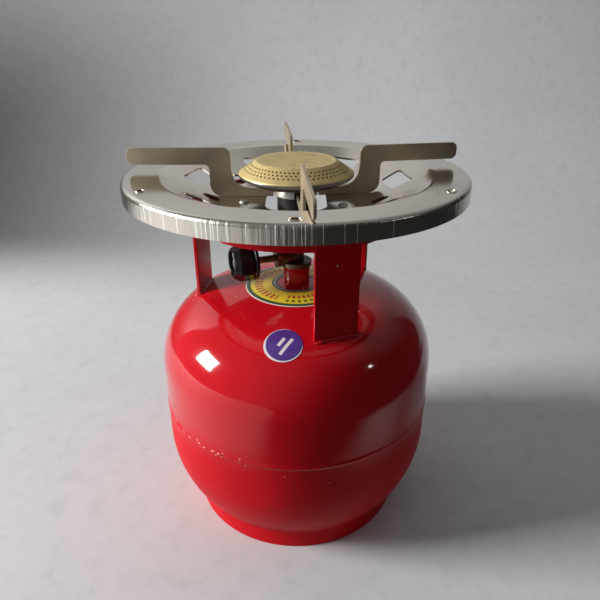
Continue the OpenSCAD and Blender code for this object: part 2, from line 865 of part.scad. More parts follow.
// Wedge that covers an angle out past radius r, used to cut openings in round walls.
module wedge(angle, r, h) {
    far = r + OVER;
    w = far * tan(angle / 2);
    linear_extrude(height = h)
        polygon([[0, 0], [far, -w], [far, w]]);
}

module mixing_tube() {
    color("dimgray") difference() {
        translate([0, 0, tube_z]) ring_solid(tube_r, tube_in_r, tube_top - tube_z);
        for (side = [0, 180])
            at_azimuth(air_port_az + side)
                translate([0, 0, air_port_z]) wedge(air_port_angle, tube_r, air_port_h);
    }
}

// Split sleeve: open in front, with a window at the back.
module air_shutter() {
    color("lightgray") difference() {
        translate([0, 0, shutter_z]) ring_solid(shutter_out_r, shutter_in_r, shutter_h);
        at_azimuth(air_port_az) translate([0, 0, shutter_z - EPS])
            wedge(shutter_gap_angle, shutter_out_r, shutter_h + 2 * EPS);
        at_azimuth(air_port_az + 180) translate([0, 0, air_port_z])
            wedge(air_port_angle, shutter_out_r, air_port_h);
    }
}

module jet_holder() {
    color("darkgoldenrod") difference() {
        union() {
            translate([0, 0, column_top - socket_l]) cylinder(r = socket_r - seat_gap, h = socket_l);
            translate([0, 0, column_top]) cylinder(r = tube_r, h = holder_flange_h);
            translate([0, 0, tube_z]) cylinder(r = tube_in_r - seat_gap, h = holder_plug_h);
            translate([0, 0, tube_z]) cylinder(r = holder_stem_r, h = jet_z - tube_z);
        }
        translate([0, 0, column_top - socket_l - EPS])
            cylinder(r = gas_bore_r, h = jet_z - column_top + socket_l + OVER, $fn = HOLE_FN);
        translate([0, 0, jet_z - jet_thread_l])
            cylinder(r = jet_thread_r + seat_gap, h = jet_thread_l + OVER, $fn = HOLE_FN);
    }
}

module gas_jet() {
    color("gold") difference() {
        union() {
            translate([0, 0, jet_z - jet_thread_l + seat_gap])
                cylinder(r = jet_thread_r, h = jet_thread_l, $fn = HOLE_FN);
            translate([0, 0, jet_z]) cylinder(d = jet_hex_d, h = jet_hex_h, $fn = 6);
            translate([0, 0, jet_z + jet_hex_h])
                cylinder(d1 = jet_nose_low_d, d2 = jet_nose_tip_d, h = jet_nose_h, $fn = ROUND_FN);
        }
        translate([0, 0, jet_z - jet_thread_l - OVER])
            cylinder(r = gas_bore_r, h = jet_thread_l + jet_hex_h, $fn = HOLE_FN);
        translate([0, 0, jet_z])
            cylinder(d = jet_orifice_d, h = jet_hex_h + jet_nose_h + OVER, $fn = HOLE_FN);
    }
}

// Spigot in the neck, flange, chamber boss along the spindle and jet column.
module valve_body() {
    color("peru") difference() {
        union() {
            translate([0, 0, bush_low - spigot_tail])
                cylinder(r = spigot_r, h = bush_top - bush_low + spigot_tail + OVER);
            translate([0, 0, bush_top]) cylinder(d = valve_flange_d, h = valve_flange_h);
            translate([0, 0, bush_top]) cylinder(d = column_d, h = column_top - bush_top);
            on_spindle() cylinder(r = boss_r, h = chamber_l);
        }
        on_spindle() cylinder(r = chamber_r, h = chamber_l + OVER);
        on_spindle() translate([0, 0, -gas_offset])
            cylinder(r = gas_bore_r, h = gas_offset + OVER, $fn = HOLE_FN);
        translate([0, 0, spindle_z]) at_azimuth(spindle_az) translate([-gas_offset, 0, 0])
            cylinder(r = gas_bore_r, h = column_h, $fn = HOLE_FN);
        translate([0, 0, column_top - socket_l]) cylinder(r = socket_r, h = socket_l + OVER);
        at_azimuth(spindle_az) translate([gas_offset, 0, bush_low - spigot_tail - OVER])
            cylinder(r = gas_bore_r, h = spindle_z - bush_low + spigot_tail + OVER, $fn = HOLE_FN);
    }
}

module gland_nut() {
    color("goldenrod") on_spindle() difference() {
        union() {
            translate([0, 0, gland_tail_z])
                cylinder(r = chamber_r - seat_gap, h = chamber_l - gland_tail_z + OVER);
            translate([0, 0, chamber_l]) cylinder(d = gland_hex_d, h = gland_hex_h, $fn = 6);
        }
        translate([0, 0, gland_tail_z - OVER])
            cylinder(r = spindle_r + run_gap, h = chamber_l + gland_hex_h);
    }
}

// Round seal between the spindle and the chamber.
module gland_seal() {
    color("black") on_spindle() translate([0, 0, seal_z])
        rotate_extrude()
            translate([(chamber_r + spindle_r) / 2, 0]) circle(r = seal_r, $fn = ROUND_FN);
}

// Rubber pad that shuts the gas bore at the end of the chamber.
module seat_pad() {
    color("black") on_spindle() translate([0, 0, seat_gap]) {
        cylinder(r = pad_r, h = pad_t);
        cylinder(r = pad_stud_r, h = pad_t + pad_stud_l, $fn = HOLE_FN);
    }
}

module spindle() {
    color("goldenrod") on_spindle() difference() {
        union() {
            translate([0, 0, collar_z]) cylinder(r = stop_collar_r, h = stop_collar_l);
            translate([0, 0, collar_z]) cylinder(r = spindle_r, h = spindle_end - collar_z);
        }
        translate([0, 0, collar_z - OVER])
            cylinder(r = pad_stud_r + run_gap, h = pad_stud_l + OVER + run_gap, $fn = HOLE_FN);
        translate([0, 0, spindle_end - knob_screw_l])
            cylinder(r = knob_screw_r + seat_gap, h = knob_screw_l + OVER, $fn = HOLE_FN);
    }
}

// Grip with flats, a round flange at its root and a recess in its face.
module knob() {
    flat_r = (knob_r - knob_flat_depth) / cos(180 / knob_flats);
    color("black") on_spindle() difference() {
        union() {
            translate([0, 0, knob_z]) cylinder(r = knob_r, h = knob_flange_h);
            intersection() {
                translate([0, 0, knob_z])
                    linear_extrude(height = knob_l)
                        polygon(rounded([for (i = [0:knob_flats - 1])
                            let (a = 360 / knob_flats * (i + 0.5))
                            [flat_r * cos(a), flat_r * sin(a), knob_corner_r]]));
                rotate_extrude()
                    polygon(rounded([
                        [0, knob_z, 0],
                        [knob_r, knob_z, 0],
                        [knob_r - knob_taper, knob_face, knob_corner_r],
                        [0, knob_face, 0]
                    ]));
            }
        }
        translate([0, 0, knob_floor]) cylinder(d = knob_recess_d, h = knob_recess_h + OVER);
        translate([0, 0, knob_z - OVER])
            cylinder(r = spindle_r + seat_gap, h = spindle_end - knob_z + OVER + seat_gap);
        translate([0, 0, knob_z])
            cylinder(r = knob_screw_r + seat_gap, h = knob_l, $fn = HOLE_FN);
    }
}

module knob_screw() {
    color("silver") on_spindle() translate([0, 0, knob_floor]) difference() {
        union() {
            cylinder(r = knob_screw_head_r, h = knob_screw_head_h, $fn = ROUND_FN);
            translate([0, 0, OVER - knob_screw_l])
                cylinder(r = knob_screw_r, h = knob_screw_l, $fn = HOLE_FN);
        }
        translate([-knob_screw_head_r, -knob_screw_slot / 2, knob_screw_head_h / 2])
            cube([2 * knob_screw_head_r, knob_screw_slot, knob_screw_head_h]);
    }
}

upper_shell();
lower_shell();
girth_weld();
foot_ring();
foot_weld();
neck_bush();
ring_label();
shoulder_sticker();
front_leg();
rear_leg();
left_leg();
leg_welds();
stand_ring();
drip_pan();
pan_screws();
pan_nuts();
front_pan_support();
right_pan_support();
rear_pan_support();
left_pan_support();
burner_cap();
burner_bowl();
mixing_tube();
air_shutter();
jet_holder();
gas_jet();
valve_body();
gland_nut();
gland_seal();
seat_pad();
spindle();
knob();
knob_screw();
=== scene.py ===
from math import acos, atan2, cos, exp, hypot, pi, radians, sin, sqrt, tan, tau

import bmesh
import bpy
from bpy.props import FloatProperty, FloatVectorProperty, IntProperty, PointerProperty
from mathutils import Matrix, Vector, noise


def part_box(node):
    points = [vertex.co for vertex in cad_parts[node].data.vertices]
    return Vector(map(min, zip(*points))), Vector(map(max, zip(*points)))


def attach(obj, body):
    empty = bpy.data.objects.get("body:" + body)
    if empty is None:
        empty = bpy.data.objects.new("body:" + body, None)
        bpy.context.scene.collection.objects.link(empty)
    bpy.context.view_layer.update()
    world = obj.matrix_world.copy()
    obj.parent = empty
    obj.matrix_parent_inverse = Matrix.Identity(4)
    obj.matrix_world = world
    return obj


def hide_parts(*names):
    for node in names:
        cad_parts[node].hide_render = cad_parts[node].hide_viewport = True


bl_info = {
    "name": "Cylinder top gas stove",
    "version": (1, 0, 0),
    "blender": (4, 5, 0),
    "location": "3D View > Sidebar > Stove",
    "description": "Dresses the solids of a gas stove with finished pieces, materials and a plain stage",
    "category": "Object",
}

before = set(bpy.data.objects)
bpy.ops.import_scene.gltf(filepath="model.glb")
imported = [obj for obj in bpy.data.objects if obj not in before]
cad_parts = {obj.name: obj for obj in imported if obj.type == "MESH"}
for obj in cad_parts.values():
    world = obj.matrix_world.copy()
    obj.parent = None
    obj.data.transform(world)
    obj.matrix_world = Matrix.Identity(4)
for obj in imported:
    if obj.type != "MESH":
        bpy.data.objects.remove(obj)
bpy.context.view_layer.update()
MM = 0.001


# Places taken from the solids.
def high(node):
    """Highest corner of a solid."""
    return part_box(node)[1]


def low(node):
    """Lowest corner of a solid."""
    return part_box(node)[0]


BOTTLE_R = high("upper_shell").x
BOTTLE_LOW = low("lower_shell").z
SEAM_Z = low("upper_shell").z
FOOT_R = high("foot_ring").x
RING_R = high("stand_ring").x
RING_TOP = high("stand_ring").z
RING_LOW = low("stand_ring").z
PAN_R = high("drip_pan").x
RIM_Z = high("drip_pan").z
ARM_TOP = high("left_pan_support").z
ARM_LOW = low("left_pan_support").z
CAP_R = high("burner_cap").x
LIP_Z = low("burner_cap").z
BOWL_R = high("burner_bowl").x
BOWL_LOW = low("burner_bowl").z
LABEL_R = high("ring_label").x
SPINDLE_Z = (low("knob").z + high("knob").z) / 2


def length(label, default, note):
    """A size that a user may change, given in millimetres."""
    return FloatProperty(
        name=label, description=note, default=default * MM, min=0.0, precision=5,
        subtype="DISTANCE", unit="LENGTH",
    )


def angle(label, default, note):
    """An angle that a user may change, given in degrees."""
    return FloatProperty(
        name=label, description=note, default=radians(default), subtype="ANGLE", unit="ROTATION",
    )


def count(label, default, note):
    """A number of like features."""
    return IntProperty(name=label, description=note, default=default, min=1)


def colour(label, default, note):
    """A linear colour that a user may change."""
    return FloatVectorProperty(
        name=label, description=note, default=default, size=3, min=0.0, max=1.0, subtype="COLOR",
    )


class StoveSizes(bpy.types.PropertyGroup):
    """Sizes of the stove's pieces that their shapes are worked out from."""

    wall: length("Bottle wall", 2.5, "Sheet of the two half shells")
    side_r: length("Side curve", 80, "Radius of the lower shell's long side curve")
    side_end: angle("Side end", 45, "Angle at which the side curve meets the knuckle")
    knuckle_r: length("Knuckle", 16, "Radius at the rim of the bottle's bottom")
    crown_angle: angle("Crown angle", 86, "Angle at which the knuckle meets the bottom's crown")
    straight_h: length("Straight wall", 57, "Height of the wall between the curved ends")
    shoulder_r: length("Shoulder", 50, "Radius of the upper shell's shoulder")
    head_h: length("Upper end", 54.5, "Height of the curved upper end")
    bead_h: length("Girth bead", 0.5, "How far the girth weld stands proud where it is smooth")
    bead_lump: length("Girth lumps", 1.2, "How far its lumps stand proud")
    bead_w: length("Girth bead width", 5, "Width of the girth weld")
    foot_t: length("Foot strip", 2.5, "Thickness of the foot ring")
    leg_w: length("Leg width", 30, "Width of a leg strap")
    leg_t: length("Leg thickness", 2.5, "Thickness of a leg strap")
    leg_reach: length("Leg reach", 71, "Distance of a leg's outer face from the axis")
    leg_az: angle("Leg azimuth", 21, "Azimuth of the front leg")
    ring_t: length("Ring sheet", 2, "Thickness of the stand ring")
    ring_hole_r: length("Ring hole", 33.2, "Radius of the hole in the stand ring")
    pan_t: length("Pan sheet", 1.2, "Thickness of the drip pan")
    pan_band_h: length("Pan band", 11.1, "Height of the pan's outer band")
    pan_edge_r: length("Pan edge", 3, "Radius of the pan's top edge")
    rim_in_r: length("Rim inner radius", 90, "Inner edge of the pan's flat rim")
    floor_r: length("Floor radius", 53, "Outer edge of the pan's flat floor")
    pan_bend_r: length("Pan bend", 6, "Radius of the pan's bends")
    window_count: count("Windows", 7, "Windows in the pan's slope")
    window_az: angle("Window azimuth", -3, "Azimuth of the front window")
    window_in_r: length("Window inner radius", 64.5, "Inner edge of a window")
    window_out_r: length("Window outer radius", 78.5, "Outer edge of a window")
    window_angle: angle("Window angle", 21.2, "Angle that a window covers")
    window_corner_r: length("Window corner", 2.5, "Corner radius of a window")
    vent_d: length("Vent", 11, "Diameter of the round holes between the windows")
    vent_reach: length("Vent reach", 57, "Distance of the round holes from the axis")
    slot_count: count("Rim slots", 6, "Slots in the flat rim")
    slot_reach: length("Slot reach", 105, "Distance of the rim slots from the axis")
    slot_l: length("Slot length", 6, "Length of a rim slot")
    slot_w: length("Slot width", 4, "Width of a rim slot")
    slot_lip: length("Slot lip", 1.1, "Width of the raised lip round a rim slot")
    opening_w: length("Opening width", 40, "Width of the opening in the pan's floor")
    opening_l: length("Opening length", 68, "Length of the opening in the pan's floor")
    opening_corner_r: length("Opening corner", 12, "Corner radius of that opening")
    arm_t: length("Support sheet", 2, "Thickness of a pan support")
    arm_az: angle("Support azimuth", 5, "Azimuth of the front support")
    arm_spread: angle("Support spread", 95, "Angle between the front support and each side support")
    arm_reach: length("Support reach", 112, "Distance of a support's tip from the axis")
    arm_bar_h: length("Support bar", 11.2, "Height of a support's bar")
    tip_drop: length("Tip drop", 3.4, "How far the front support's tip is bent down")
    riser_in: length("Riser inner edge", 43.5, "Inner edge of a support's riser")
    riser_out: length("Riser outer edge", 58, "Outer edge of a support's riser")
    arm_foot_in: length("Support foot", 15.5, "Inner end of a support's foot")
    arm_foot_h: length("Support foot height", 5.5, "Height of a support's foot")
    tab_in: length("Tab", 37, "Inner edge of a support's tab")
    tab_w: length("Tab width", 5.5, "Width of a support's tab")
    cap_top_r: length("Cap top", 27, "Radius of the burner cap's top")
    cap_h: length("Cap height", 8.6, "Height of the burner cap above its lip")
    cap_t: length("Cap sheet", 0.9, "Thickness of the burner cap")
    cap_dish: length("Cap dish", 0.9, "Depth of the dish in the cap's top")
    port_rows: count("Port rows", 3, "Rows of flame holes")
    port_count: count("Ports", 68, "Flame holes in a row")
    port_d: length("Port", 1.5, "Diameter of a flame hole")
    bowl_t: length("Bowl sheet", 1.2, "Thickness of the burner bowl")
    bowl_rim_h: length("Bowl rim", 1.8, "Height of the bowl's upright rim")
    knob_flats: count("Knob flats", 8, "Flats round the knob")
    spindle_az: angle("Spindle azimuth", -70, "Azimuth of the valve's spindle")
    label_in_r: length("Label hole", 14, "Inner radius of the ring label")
    label_t: length("Label", 0.25, "How far a label stands proud")
    sticker_r: length("Sticker", 12.2, "Radius of the shoulder sticker")
    sticker_az: angle("Sticker azimuth", -6.3, "Azimuth of the shoulder sticker")
    sticker_reach: length("Sticker reach", 73, "Distance of the sticker from the axis")


class StoveColours(bpy.types.PropertyGroup):
    """Colours of the stove's finishes."""

    enamel: colour("Enamel", (0.58, 0.005, 0.012), "Red enamel of the bottle and stand")
    primer: colour("Primer", (0.10, 0.035, 0.03), "Dark metal in the enamel's chips")
    pan_steel: colour("Pan steel", (0.84, 0.77, 0.67), "Stainless sheet of the pan")
    arm_steel: colour("Support steel", (0.62, 0.52, 0.38), "Duller sheet of the supports")
    cap_brass: colour("Cap brass", (0.80, 0.63, 0.29), "Pale brass of the burner cap")
    bowl_steel: colour("Bowl steel", (0.44, 0.41, 0.38), "Sheet of the burner bowl")
    tube_black: colour("Tube black", (0.014, 0.014, 0.015), "Blackened mixing tube")
    zinc: colour("Zinc", (0.64, 0.64, 0.60), "Zinc plate of the shutter and screws")
    valve_brass: colour("Valve brass", (0.20, 0.20, 0.13), "Dull brass of the valve")
    knob_black: colour("Knob black", (0.010, 0.010, 0.011), "Gloss plastic of the knob")
    rubber: colour("Rubber", (0.02, 0.02, 0.02), "Seals")
    label_yellow: colour("Label yellow", (0.80, 0.62, 0.03), "Middle band of the ring label")
    label_green: colour("Label green", (0.035, 0.085, 0.03), "Borders of the ring label")
    label_red: colour("Label red", (0.42, 0.03, 0.02), "Printed ticks of the ring label")
    label_white: colour("Label white", (0.80, 0.78, 0.72), "Paper edge of the labels")
    sticker_purple: colour("Sticker purple", (0.085, 0.035, 0.25), "Face of the shoulder sticker")
    floor: colour("Floor", (0.66, 0.665, 0.67), "Pale floor and backdrop")


# Shader expressions.
class Sock:
    """A shader socket in an expression: arithmetic on it adds Math nodes."""

    def __init__(self, finish, socket):
        self.finish = finish
        self.socket = socket

    def other(self, name):
        """Another output of the same node."""
        return Sock(self.finish, self.socket.node.outputs[name])

    def maths(self, operation, first, second=None):
        return self.finish.node("ShaderNodeMath", {"operation": operation}, {0: first, 1: second})

    def __add__(self, value):
        return self.maths("ADD", self, value)

    def __radd__(self, value):
        return self.maths("ADD", value, self)

    def __sub__(self, value):
        return self.maths("SUBTRACT", self, value)

    def __rsub__(self, value):
        return self.maths("SUBTRACT", value, self)

    def __mul__(self, value):
        return self.maths("MULTIPLY", self, value)

    def __rmul__(self, value):
        return self.maths("MULTIPLY", value, self)

    def __pow__(self, value):
        return self.maths("POWER", self, value)

    def __abs__(self):
        return self.maths("ABSOLUTE", self)


class Finish:
    """The nodes of one material, or of the world."""

    def __init__(self, owner):
        self.owner = owner
        owner.use_nodes = True
        self.tree = owner.node_tree
        self.tree.nodes.clear()

    def end(self, kind, shader):
        """Joins a shader to an output node."""
        self.node(kind, None, {"Surface": shader})
        return self.owner

    def node(self, kind, settings=None, sockets=None, out=0):
        """Adds a node: its settings come first, then the values or links of its sockets."""
        made = self.tree.nodes.new(kind)
        for key, value in (settings or {}).items():
            setattr(made, key, value)
        for key, value in (sockets or {}).items():
            if isinstance(value, Sock):
                self.tree.links.new(value.socket, made.inputs[key])
            elif value is not None:
                made.inputs[key].default_value = value
        return Sock(self, made.outputs[out]) if made.outputs else None

    def place(self):
        """Position on the piece, in metres."""
        return self.node("ShaderNodeTexCoord", out="Object")

    def stretch(self, point, scale):
        """Position scaled by a vector."""
        return self.node("ShaderNodeVectorMath", {"operation": "MULTIPLY"}, {0: point, 1: scale})

    def along(self, point, origin, direction):
        """Distance from an origin along a direction."""
        sockets = {0: point, 1: origin}
        offset = self.node("ShaderNodeVectorMath", {"operation": "SUBTRACT"}, sockets)
        sockets = {0: offset, 1: direction}
        return self.node("ShaderNodeVectorMath", {"operation": "DOT_PRODUCT"}, sockets, out="Value")

    def split(self, point):
        """The three coordinates of a position."""
        x = self.node("ShaderNodeSeparateXYZ", None, {0: point})
        return x, x.other("Y"), x.other("Z")

    def join(self, x, y, z):
        return self.node("ShaderNodeCombineXYZ", None, {0: x, 1: y, 2: z})

    def round_about(self, point):
        """Distance from the stove's axis and angle round it."""
        x, y, _ = self.split(point)
        reach = (x * x + y * y) ** 0.5
        return reach, self.node("ShaderNodeMath", {"operation": "ARCTAN2"}, {0: y, 1: x})

    def cloud(self, point, scale, detail=3.0, rough=0.55, distort=0.0):
        """Noise from 0 to 1."""
        sockets = {"Vector": point, "Scale": scale, "Detail": detail, "Roughness": rough,
                   "Distortion": distort}
        return self.node("ShaderNodeTexNoise", None, sockets, out=0)

    def cells(self, point, scale):
        """Distance inside a pattern of cells."""
        sockets = {"Vector": point, "Scale": scale}
        return self.node("ShaderNodeTexVoronoi", {"feature": "F1"}, sockets, out="Distance")

    def specks(self, point, scale, rare, inner, outer):
        """Lone round specks: 1 inside a few of the cells, 0 elsewhere."""
        dots = self.cells(point, scale)
        sockets = {"Vector": dots.other("Position")}
        chance = self.node("ShaderNodeTexWhiteNoise", {"noise_dimensions": "3D"}, sockets, out="Value")
        return (1 - self.step(dots, inner, outer)) * self.step(chance, rare, rare + 0.005)

    def lines(self, value, rare, inner, outer):
        """Lone thin lines across a value: 1 on a few of them, 0 elsewhere."""
        sockets = {"W": value, "Scale": 1.0}
        gaps = self.node("ShaderNodeTexVoronoi", {"voronoi_dimensions": "1D"}, sockets, out="Distance")
        sockets = {"W": gaps.other("W")}
        chance = self.node("ShaderNodeTexWhiteNoise", {"noise_dimensions": "1D"}, sockets, out="Value")
        return (1 - self.step(gaps, inner, outer)) * self.step(chance, rare, rare + 0.005)

    def step(self, value, start, end):
        """Smooth step from 0 at start to 1 at end."""
        settings = {"interpolation_type": "SMOOTHSTEP"}
        return self.node("ShaderNodeMapRange", settings, {0: value, 1: start, 2: end, 3: 0.0, 4: 1.0})

    def band(self, value, start, end, soft):
        """1 between start and end, 0 outside."""
        return self.step(value, start - soft, start + soft) * (1 - self.step(value, end - soft, end + soft))

    def larger(self, first, second):
        """The larger of two values."""
        return self.node("ShaderNodeMath", {"operation": "MAXIMUM"}, {0: first, 1: second})

    def mix(self, share, first, second):
        """Colour between two colours."""
        first, second = (c if isinstance(c, Sock) else (*c[:3], 1.0) for c in (first, second))
        sockets = {0: share, 6: first, 7: second}
        return self.node("ShaderNodeMix", {"data_type": "RGBA"}, sockets, out=2)

    def bump(self, height, distance, strength=1.0):
        """Normal that follows a height in metres."""
        sockets = {"Height": height, "Distance": distance, "Strength": strength}
        return self.node("ShaderNodeBump", None, sockets)

    def surface(self, **sockets):
        """Ends the material in a principled shader."""
        named = {key.replace("_", " ").title().replace("Ior", "IOR"): v for key, v in sockets.items()}
        for key, value in named.items():
            if isinstance(value, tuple):
                named[key] = (*value[:3], 1.0)
        return self.end("ShaderNodeOutputMaterial", self.node("ShaderNodeBsdfPrincipled", None, named))


def new_finish(name):
    """A new, empty material."""
    return Finish(bpy.data.materials.new(name))


def shade(c, factor):
    """A colour made darker or lighter."""
    return tuple(min(1.0, v * factor) for v in c)


def enamel_finish(c):
    """Glossy red enamel with soft waves, specks of dust, chips, a few short scratches and pale specks along
    the weld, with painted shade on the stand ring's top under the pan.
    """
    f = new_finish("red_enamel")
    p = f.place()
    clouds = f.cloud(p, 16.0, 4.0)
    red = f.mix(f.step(clouds, 0.3, 0.75), tuple(c.enamel), shade(c.enamel, 0.84))
    worn_area = f.step(f.cloud(p, 22.0, 2.0), 0.57, 0.70)
    chips = f.step(f.cloud(p, 330.0, 3.0, 0.6), 0.70, 0.73) * worn_area
    red = f.mix(chips, red, tuple(c.primer))
    reach, turn = f.round_about(p)
    _, _, z = f.split(p)
    weld_half = 3.5 * MM
    lumpy_from, lumpy_to = -2.66, -1.86
    weld = f.band(z, SEAM_Z - weld_half, SEAM_Z + weld_half, 1.0 * MM)
    weld = weld * f.band(turn, lumpy_from, lumpy_to, 0.06)
    # Pale specks, only along the lumpy stretch of the weld.
    pale_weld_specks = f.specks(p, 380.0, 0.80, 0.16, 0.28) * weld
    dust = f.specks(p, 170.0, 0.962, 0.07, 0.13)
    dashes = f.specks(f.stretch(p, (0.45, 0.45, 1.5)), 110.0, 0.980, 0.05, 0.10)
    marks = f.larger(f.larger(dust, dashes), pale_weld_specks)
    red = f.mix(marks * 0.85, red, (0.86, 0.66, 0.62))
    # Painted shade: the stand ring's top under the pan, inside about 63 mm, is darkened towards the primer
    # colour and made rougher.
    painted_shade_under_pan = f.step(z, RING_TOP - 1.0 * MM, RING_TOP - 0.2 * MM) * (1 - f.step(reach, 63 * MM, 66 * MM))
    red = f.mix(painted_shade_under_pan * 0.92, red, tuple(c.primer))
    gloss_low, gloss_high = 95 * MM, 188 * MM
    glossy = f.band(z, gloss_low, gloss_high, 18 * MM)
    peel = f.cloud(p, 420.0, 2.0)
    waves = f.cloud(p, 30.0, 1.0)
    height = peel * 0.000012 + waves * 0.00022 - chips * 0.00012 + marks * 0.00015
    rough = 0.40 - 0.28 * glossy + 0.08 * f.cloud(p, 60.0, 5.0) + 0.35 * chips + 0.3 * marks + 0.4 * painted_shade_under_pan
    return f.surface(
        base_color=red, roughness=rough, specular_ior_level=0.08, coat_weight=0.9 * glossy,
        coat_roughness=0.04, normal=f.bump(height, 1.0, 0.6),
    )


def pan_finish(c, s):
    """Polished stainless sheet with stains and scuffs, and upright draw marks round its band; the band is
    painted darker as painted shade, and its front left carries extra pale lines as painted highlight.
    """
    f = new_finish("stainless_pan")
    p = f.place()
    reach, turn = f.round_about(p)
    _, _, z = f.split(p)
    on_band = f.step(reach, PAN_R - 1.4 * s.pan_t, PAN_R - 0.6 * s.pan_t)
    round_line = f.join(turn * 26.0, 0.0, z * 10.0)
    marks = f.cloud(round_line, 7.5, 3.0, 0.6)
    wide_marks = f.cloud(round_line, 1.6, 3.0, 0.6)
    # Rougher stretch on the front left of the band, with extra pale lines there as painted highlight.
    rubbed_and_lit = f.band(turn, radians(-139), radians(-82), 0.09) * on_band
    busy = rubbed_and_lit * f.step(f.cloud(round_line, 0.35, 2.0), 0.25, 0.50)
    lines = f.lines(turn * 48.0 + z * 6.0, 0.97 - 0.52 * busy, 0.05, 0.10) * on_band
    clouds = f.cloud(p, 30.0, 5.0)
    grain = f.cloud(f.stretch(p, (1.0, 0.05, 1.0)), 900.0, 3.0)
    scuffed = f.step(f.cloud(p, 24.0, 2.0), 0.56, 0.68)
    scuffs = f.step(f.cloud(f.stretch(p, (1.0, 0.4, 1.0)), 420.0, 4.0, 0.7), 0.58, 0.66) * scuffed
    stains = f.step(f.cloud(p, 520.0, 3.0, 0.65), 0.69, 0.73) * f.step(f.cloud(p, 26.0, 2.0), 0.50, 0.64)
    drops = f.specks(p, 150.0, 0.95, 0.10, 0.22) * (1 - on_band)
    steel = f.mix(f.step(clouds, 0.3, 0.75), tuple(c.pan_steel), shade(c.pan_steel, 0.88))
    steel = f.mix(stains, steel, shade(c.pan_steel, 0.4))
    steel = f.mix(scuffs * 0.45, steel, shade(c.pan_steel, 0.6))
    # Painted shade: the band is a darker copy of the sheet's steel.
    steel = f.mix(on_band, steel, shade(c.pan_steel, 0.72))
    steel = f.mix(lines, steel, (0.95, 0.95, 0.93))
    rough = 0.09 + 0.06 * clouds + 0.04 * grain + 0.3 * stains + 0.22 * scuffs + 0.5 * lines + 0.2 * drops
    rough = rough + 0.18 * rubbed_and_lit
    height = (marks - 0.5) * 0.00003 * on_band + (wide_marks - 0.5) * 0.0006 * on_band
    height = height + (grain - 0.5) * 0.000006 + (f.cloud(p, 16.0, 1.0) - 0.5) * 0.00025
    height = height - stains * 0.00003 - scuffs * 0.00002
    return f.surface(base_color=steel, metallic=1.0, roughness=rough, normal=f.bump(height, 1.0, 0.7))


def arm_finish(c):
    """Dull stainless sheet with a rolled grain, brown clouds and a few pits."""
    f = new_finish("stainless_arm")
    p = f.place()
    grain = f.cloud(f.stretch(p, (0.12, 0.12, 1.0)), 700.0, 4.0)
    clouds = f.cloud(p, 45.0, 4.0)
    pits = f.specks(p, 260.0, 0.93, 0.10, 0.18)
    heat = f.step(f.cloud(p, 24.0, 3.0), 0.42, 0.70)
    steel = f.mix(heat, tuple(c.arm_steel), shade(c.arm_steel, 0.78))
    steel = f.mix(pits, steel, shade(c.arm_steel, 0.2))
    rough = 0.34 + 0.16 * clouds + 0.10 * grain + 0.2 * pits
    height = (grain - 0.5) * 0.00003 - pits * 0.00008 + (clouds - 0.5) * 0.00015
    return f.surface(base_color=steel, metallic=1.0, roughness=rough, normal=f.bump(height, 1.0, 0.7))


def cap_finish(c, s):
    """Pale pressed brass, slightly tarnished, dented in the middle of its top, with painted highlights on
    the beads of its top's edge.
    """
    f = new_finish("burner_brass")
    p = f.place()
    reach, turn = f.round_about(p)
    clouds = f.cloud(p, 70.0, 5.0)
    grain = f.cloud(p, 900.0, 3.0)
    dents = f.cloud(p, 150.0, 2.0, 0.5, 0.6)
    on_top = 1 - f.step(reach, s.cap_top_r - 7 * MM, s.cap_top_r)
    pips = f.node("ShaderNodeMath", {"operation": "COSINE"}, {0: turn * float(s.port_count // 2)})
    patchy = f.step(f.cloud(p, 60.0, 2.0), 0.36, 0.56)
    bead_in, bead_out = s.cap_top_r - 2.3 * MM, s.cap_top_r - 0.3 * MM
    beads = f.step(pips, 0.0, 0.6) * f.band(reach, bead_in, bead_out, 0.3 * MM)
    tarnish = f.step(clouds, 0.48, 0.75)
    brass = f.mix(tarnish, tuple(c.cap_brass), shade(c.cap_brass, 0.75))
    brass = f.mix(on_top * 0.4, brass, shade(c.cap_brass, 0.85))
    brass = f.mix(f.step(dents, 0.40, 0.60) * on_top * 0.35, brass, shade(c.cap_brass, 0.66))
    brass = f.mix(f.step(grain, 0.62, 0.8) * 0.5, brass, (0.90, 0.82, 0.58))
    # Painted highlight: the beads of the top's edge are painted pale, in patches, as glints.
    brass = f.mix(beads * patchy * 0.75, brass, (0.97, 0.91, 0.70))
    rough = 0.46 + 0.16 * clouds + 0.08 * grain - 0.12 * beads
    height = (dents - 0.5) * (0.00012 + 0.0008 * on_top) + (grain - 0.5) * 0.00003 + beads * 0.0002
    return f.surface(base_color=brass, metallic=0.85, roughness=rough, normal=f.bump(height, 1.0, 0.7))


def metal_finish(name, base, dark, rough_low, rough_high, grain_scale, depth):
    """Plain metal with clouds of tarnish and a fine grain."""
    f = new_finish(name)
    p = f.place()
    clouds = f.cloud(p, 90.0, 5.0)
    grain = f.cloud(p, grain_scale, 4.0)
    tone = f.mix(f.step(clouds, 0.35, 0.72), base, dark)
    rough = rough_low + (rough_high - rough_low) * clouds + 0.08 * grain
    height = (grain - 0.5) * depth + (clouds - 0.5) * depth * 2.0
    return f.surface(base_color=tone, metallic=1.0, roughness=rough, normal=f.bump(height, 1.0, 0.8))


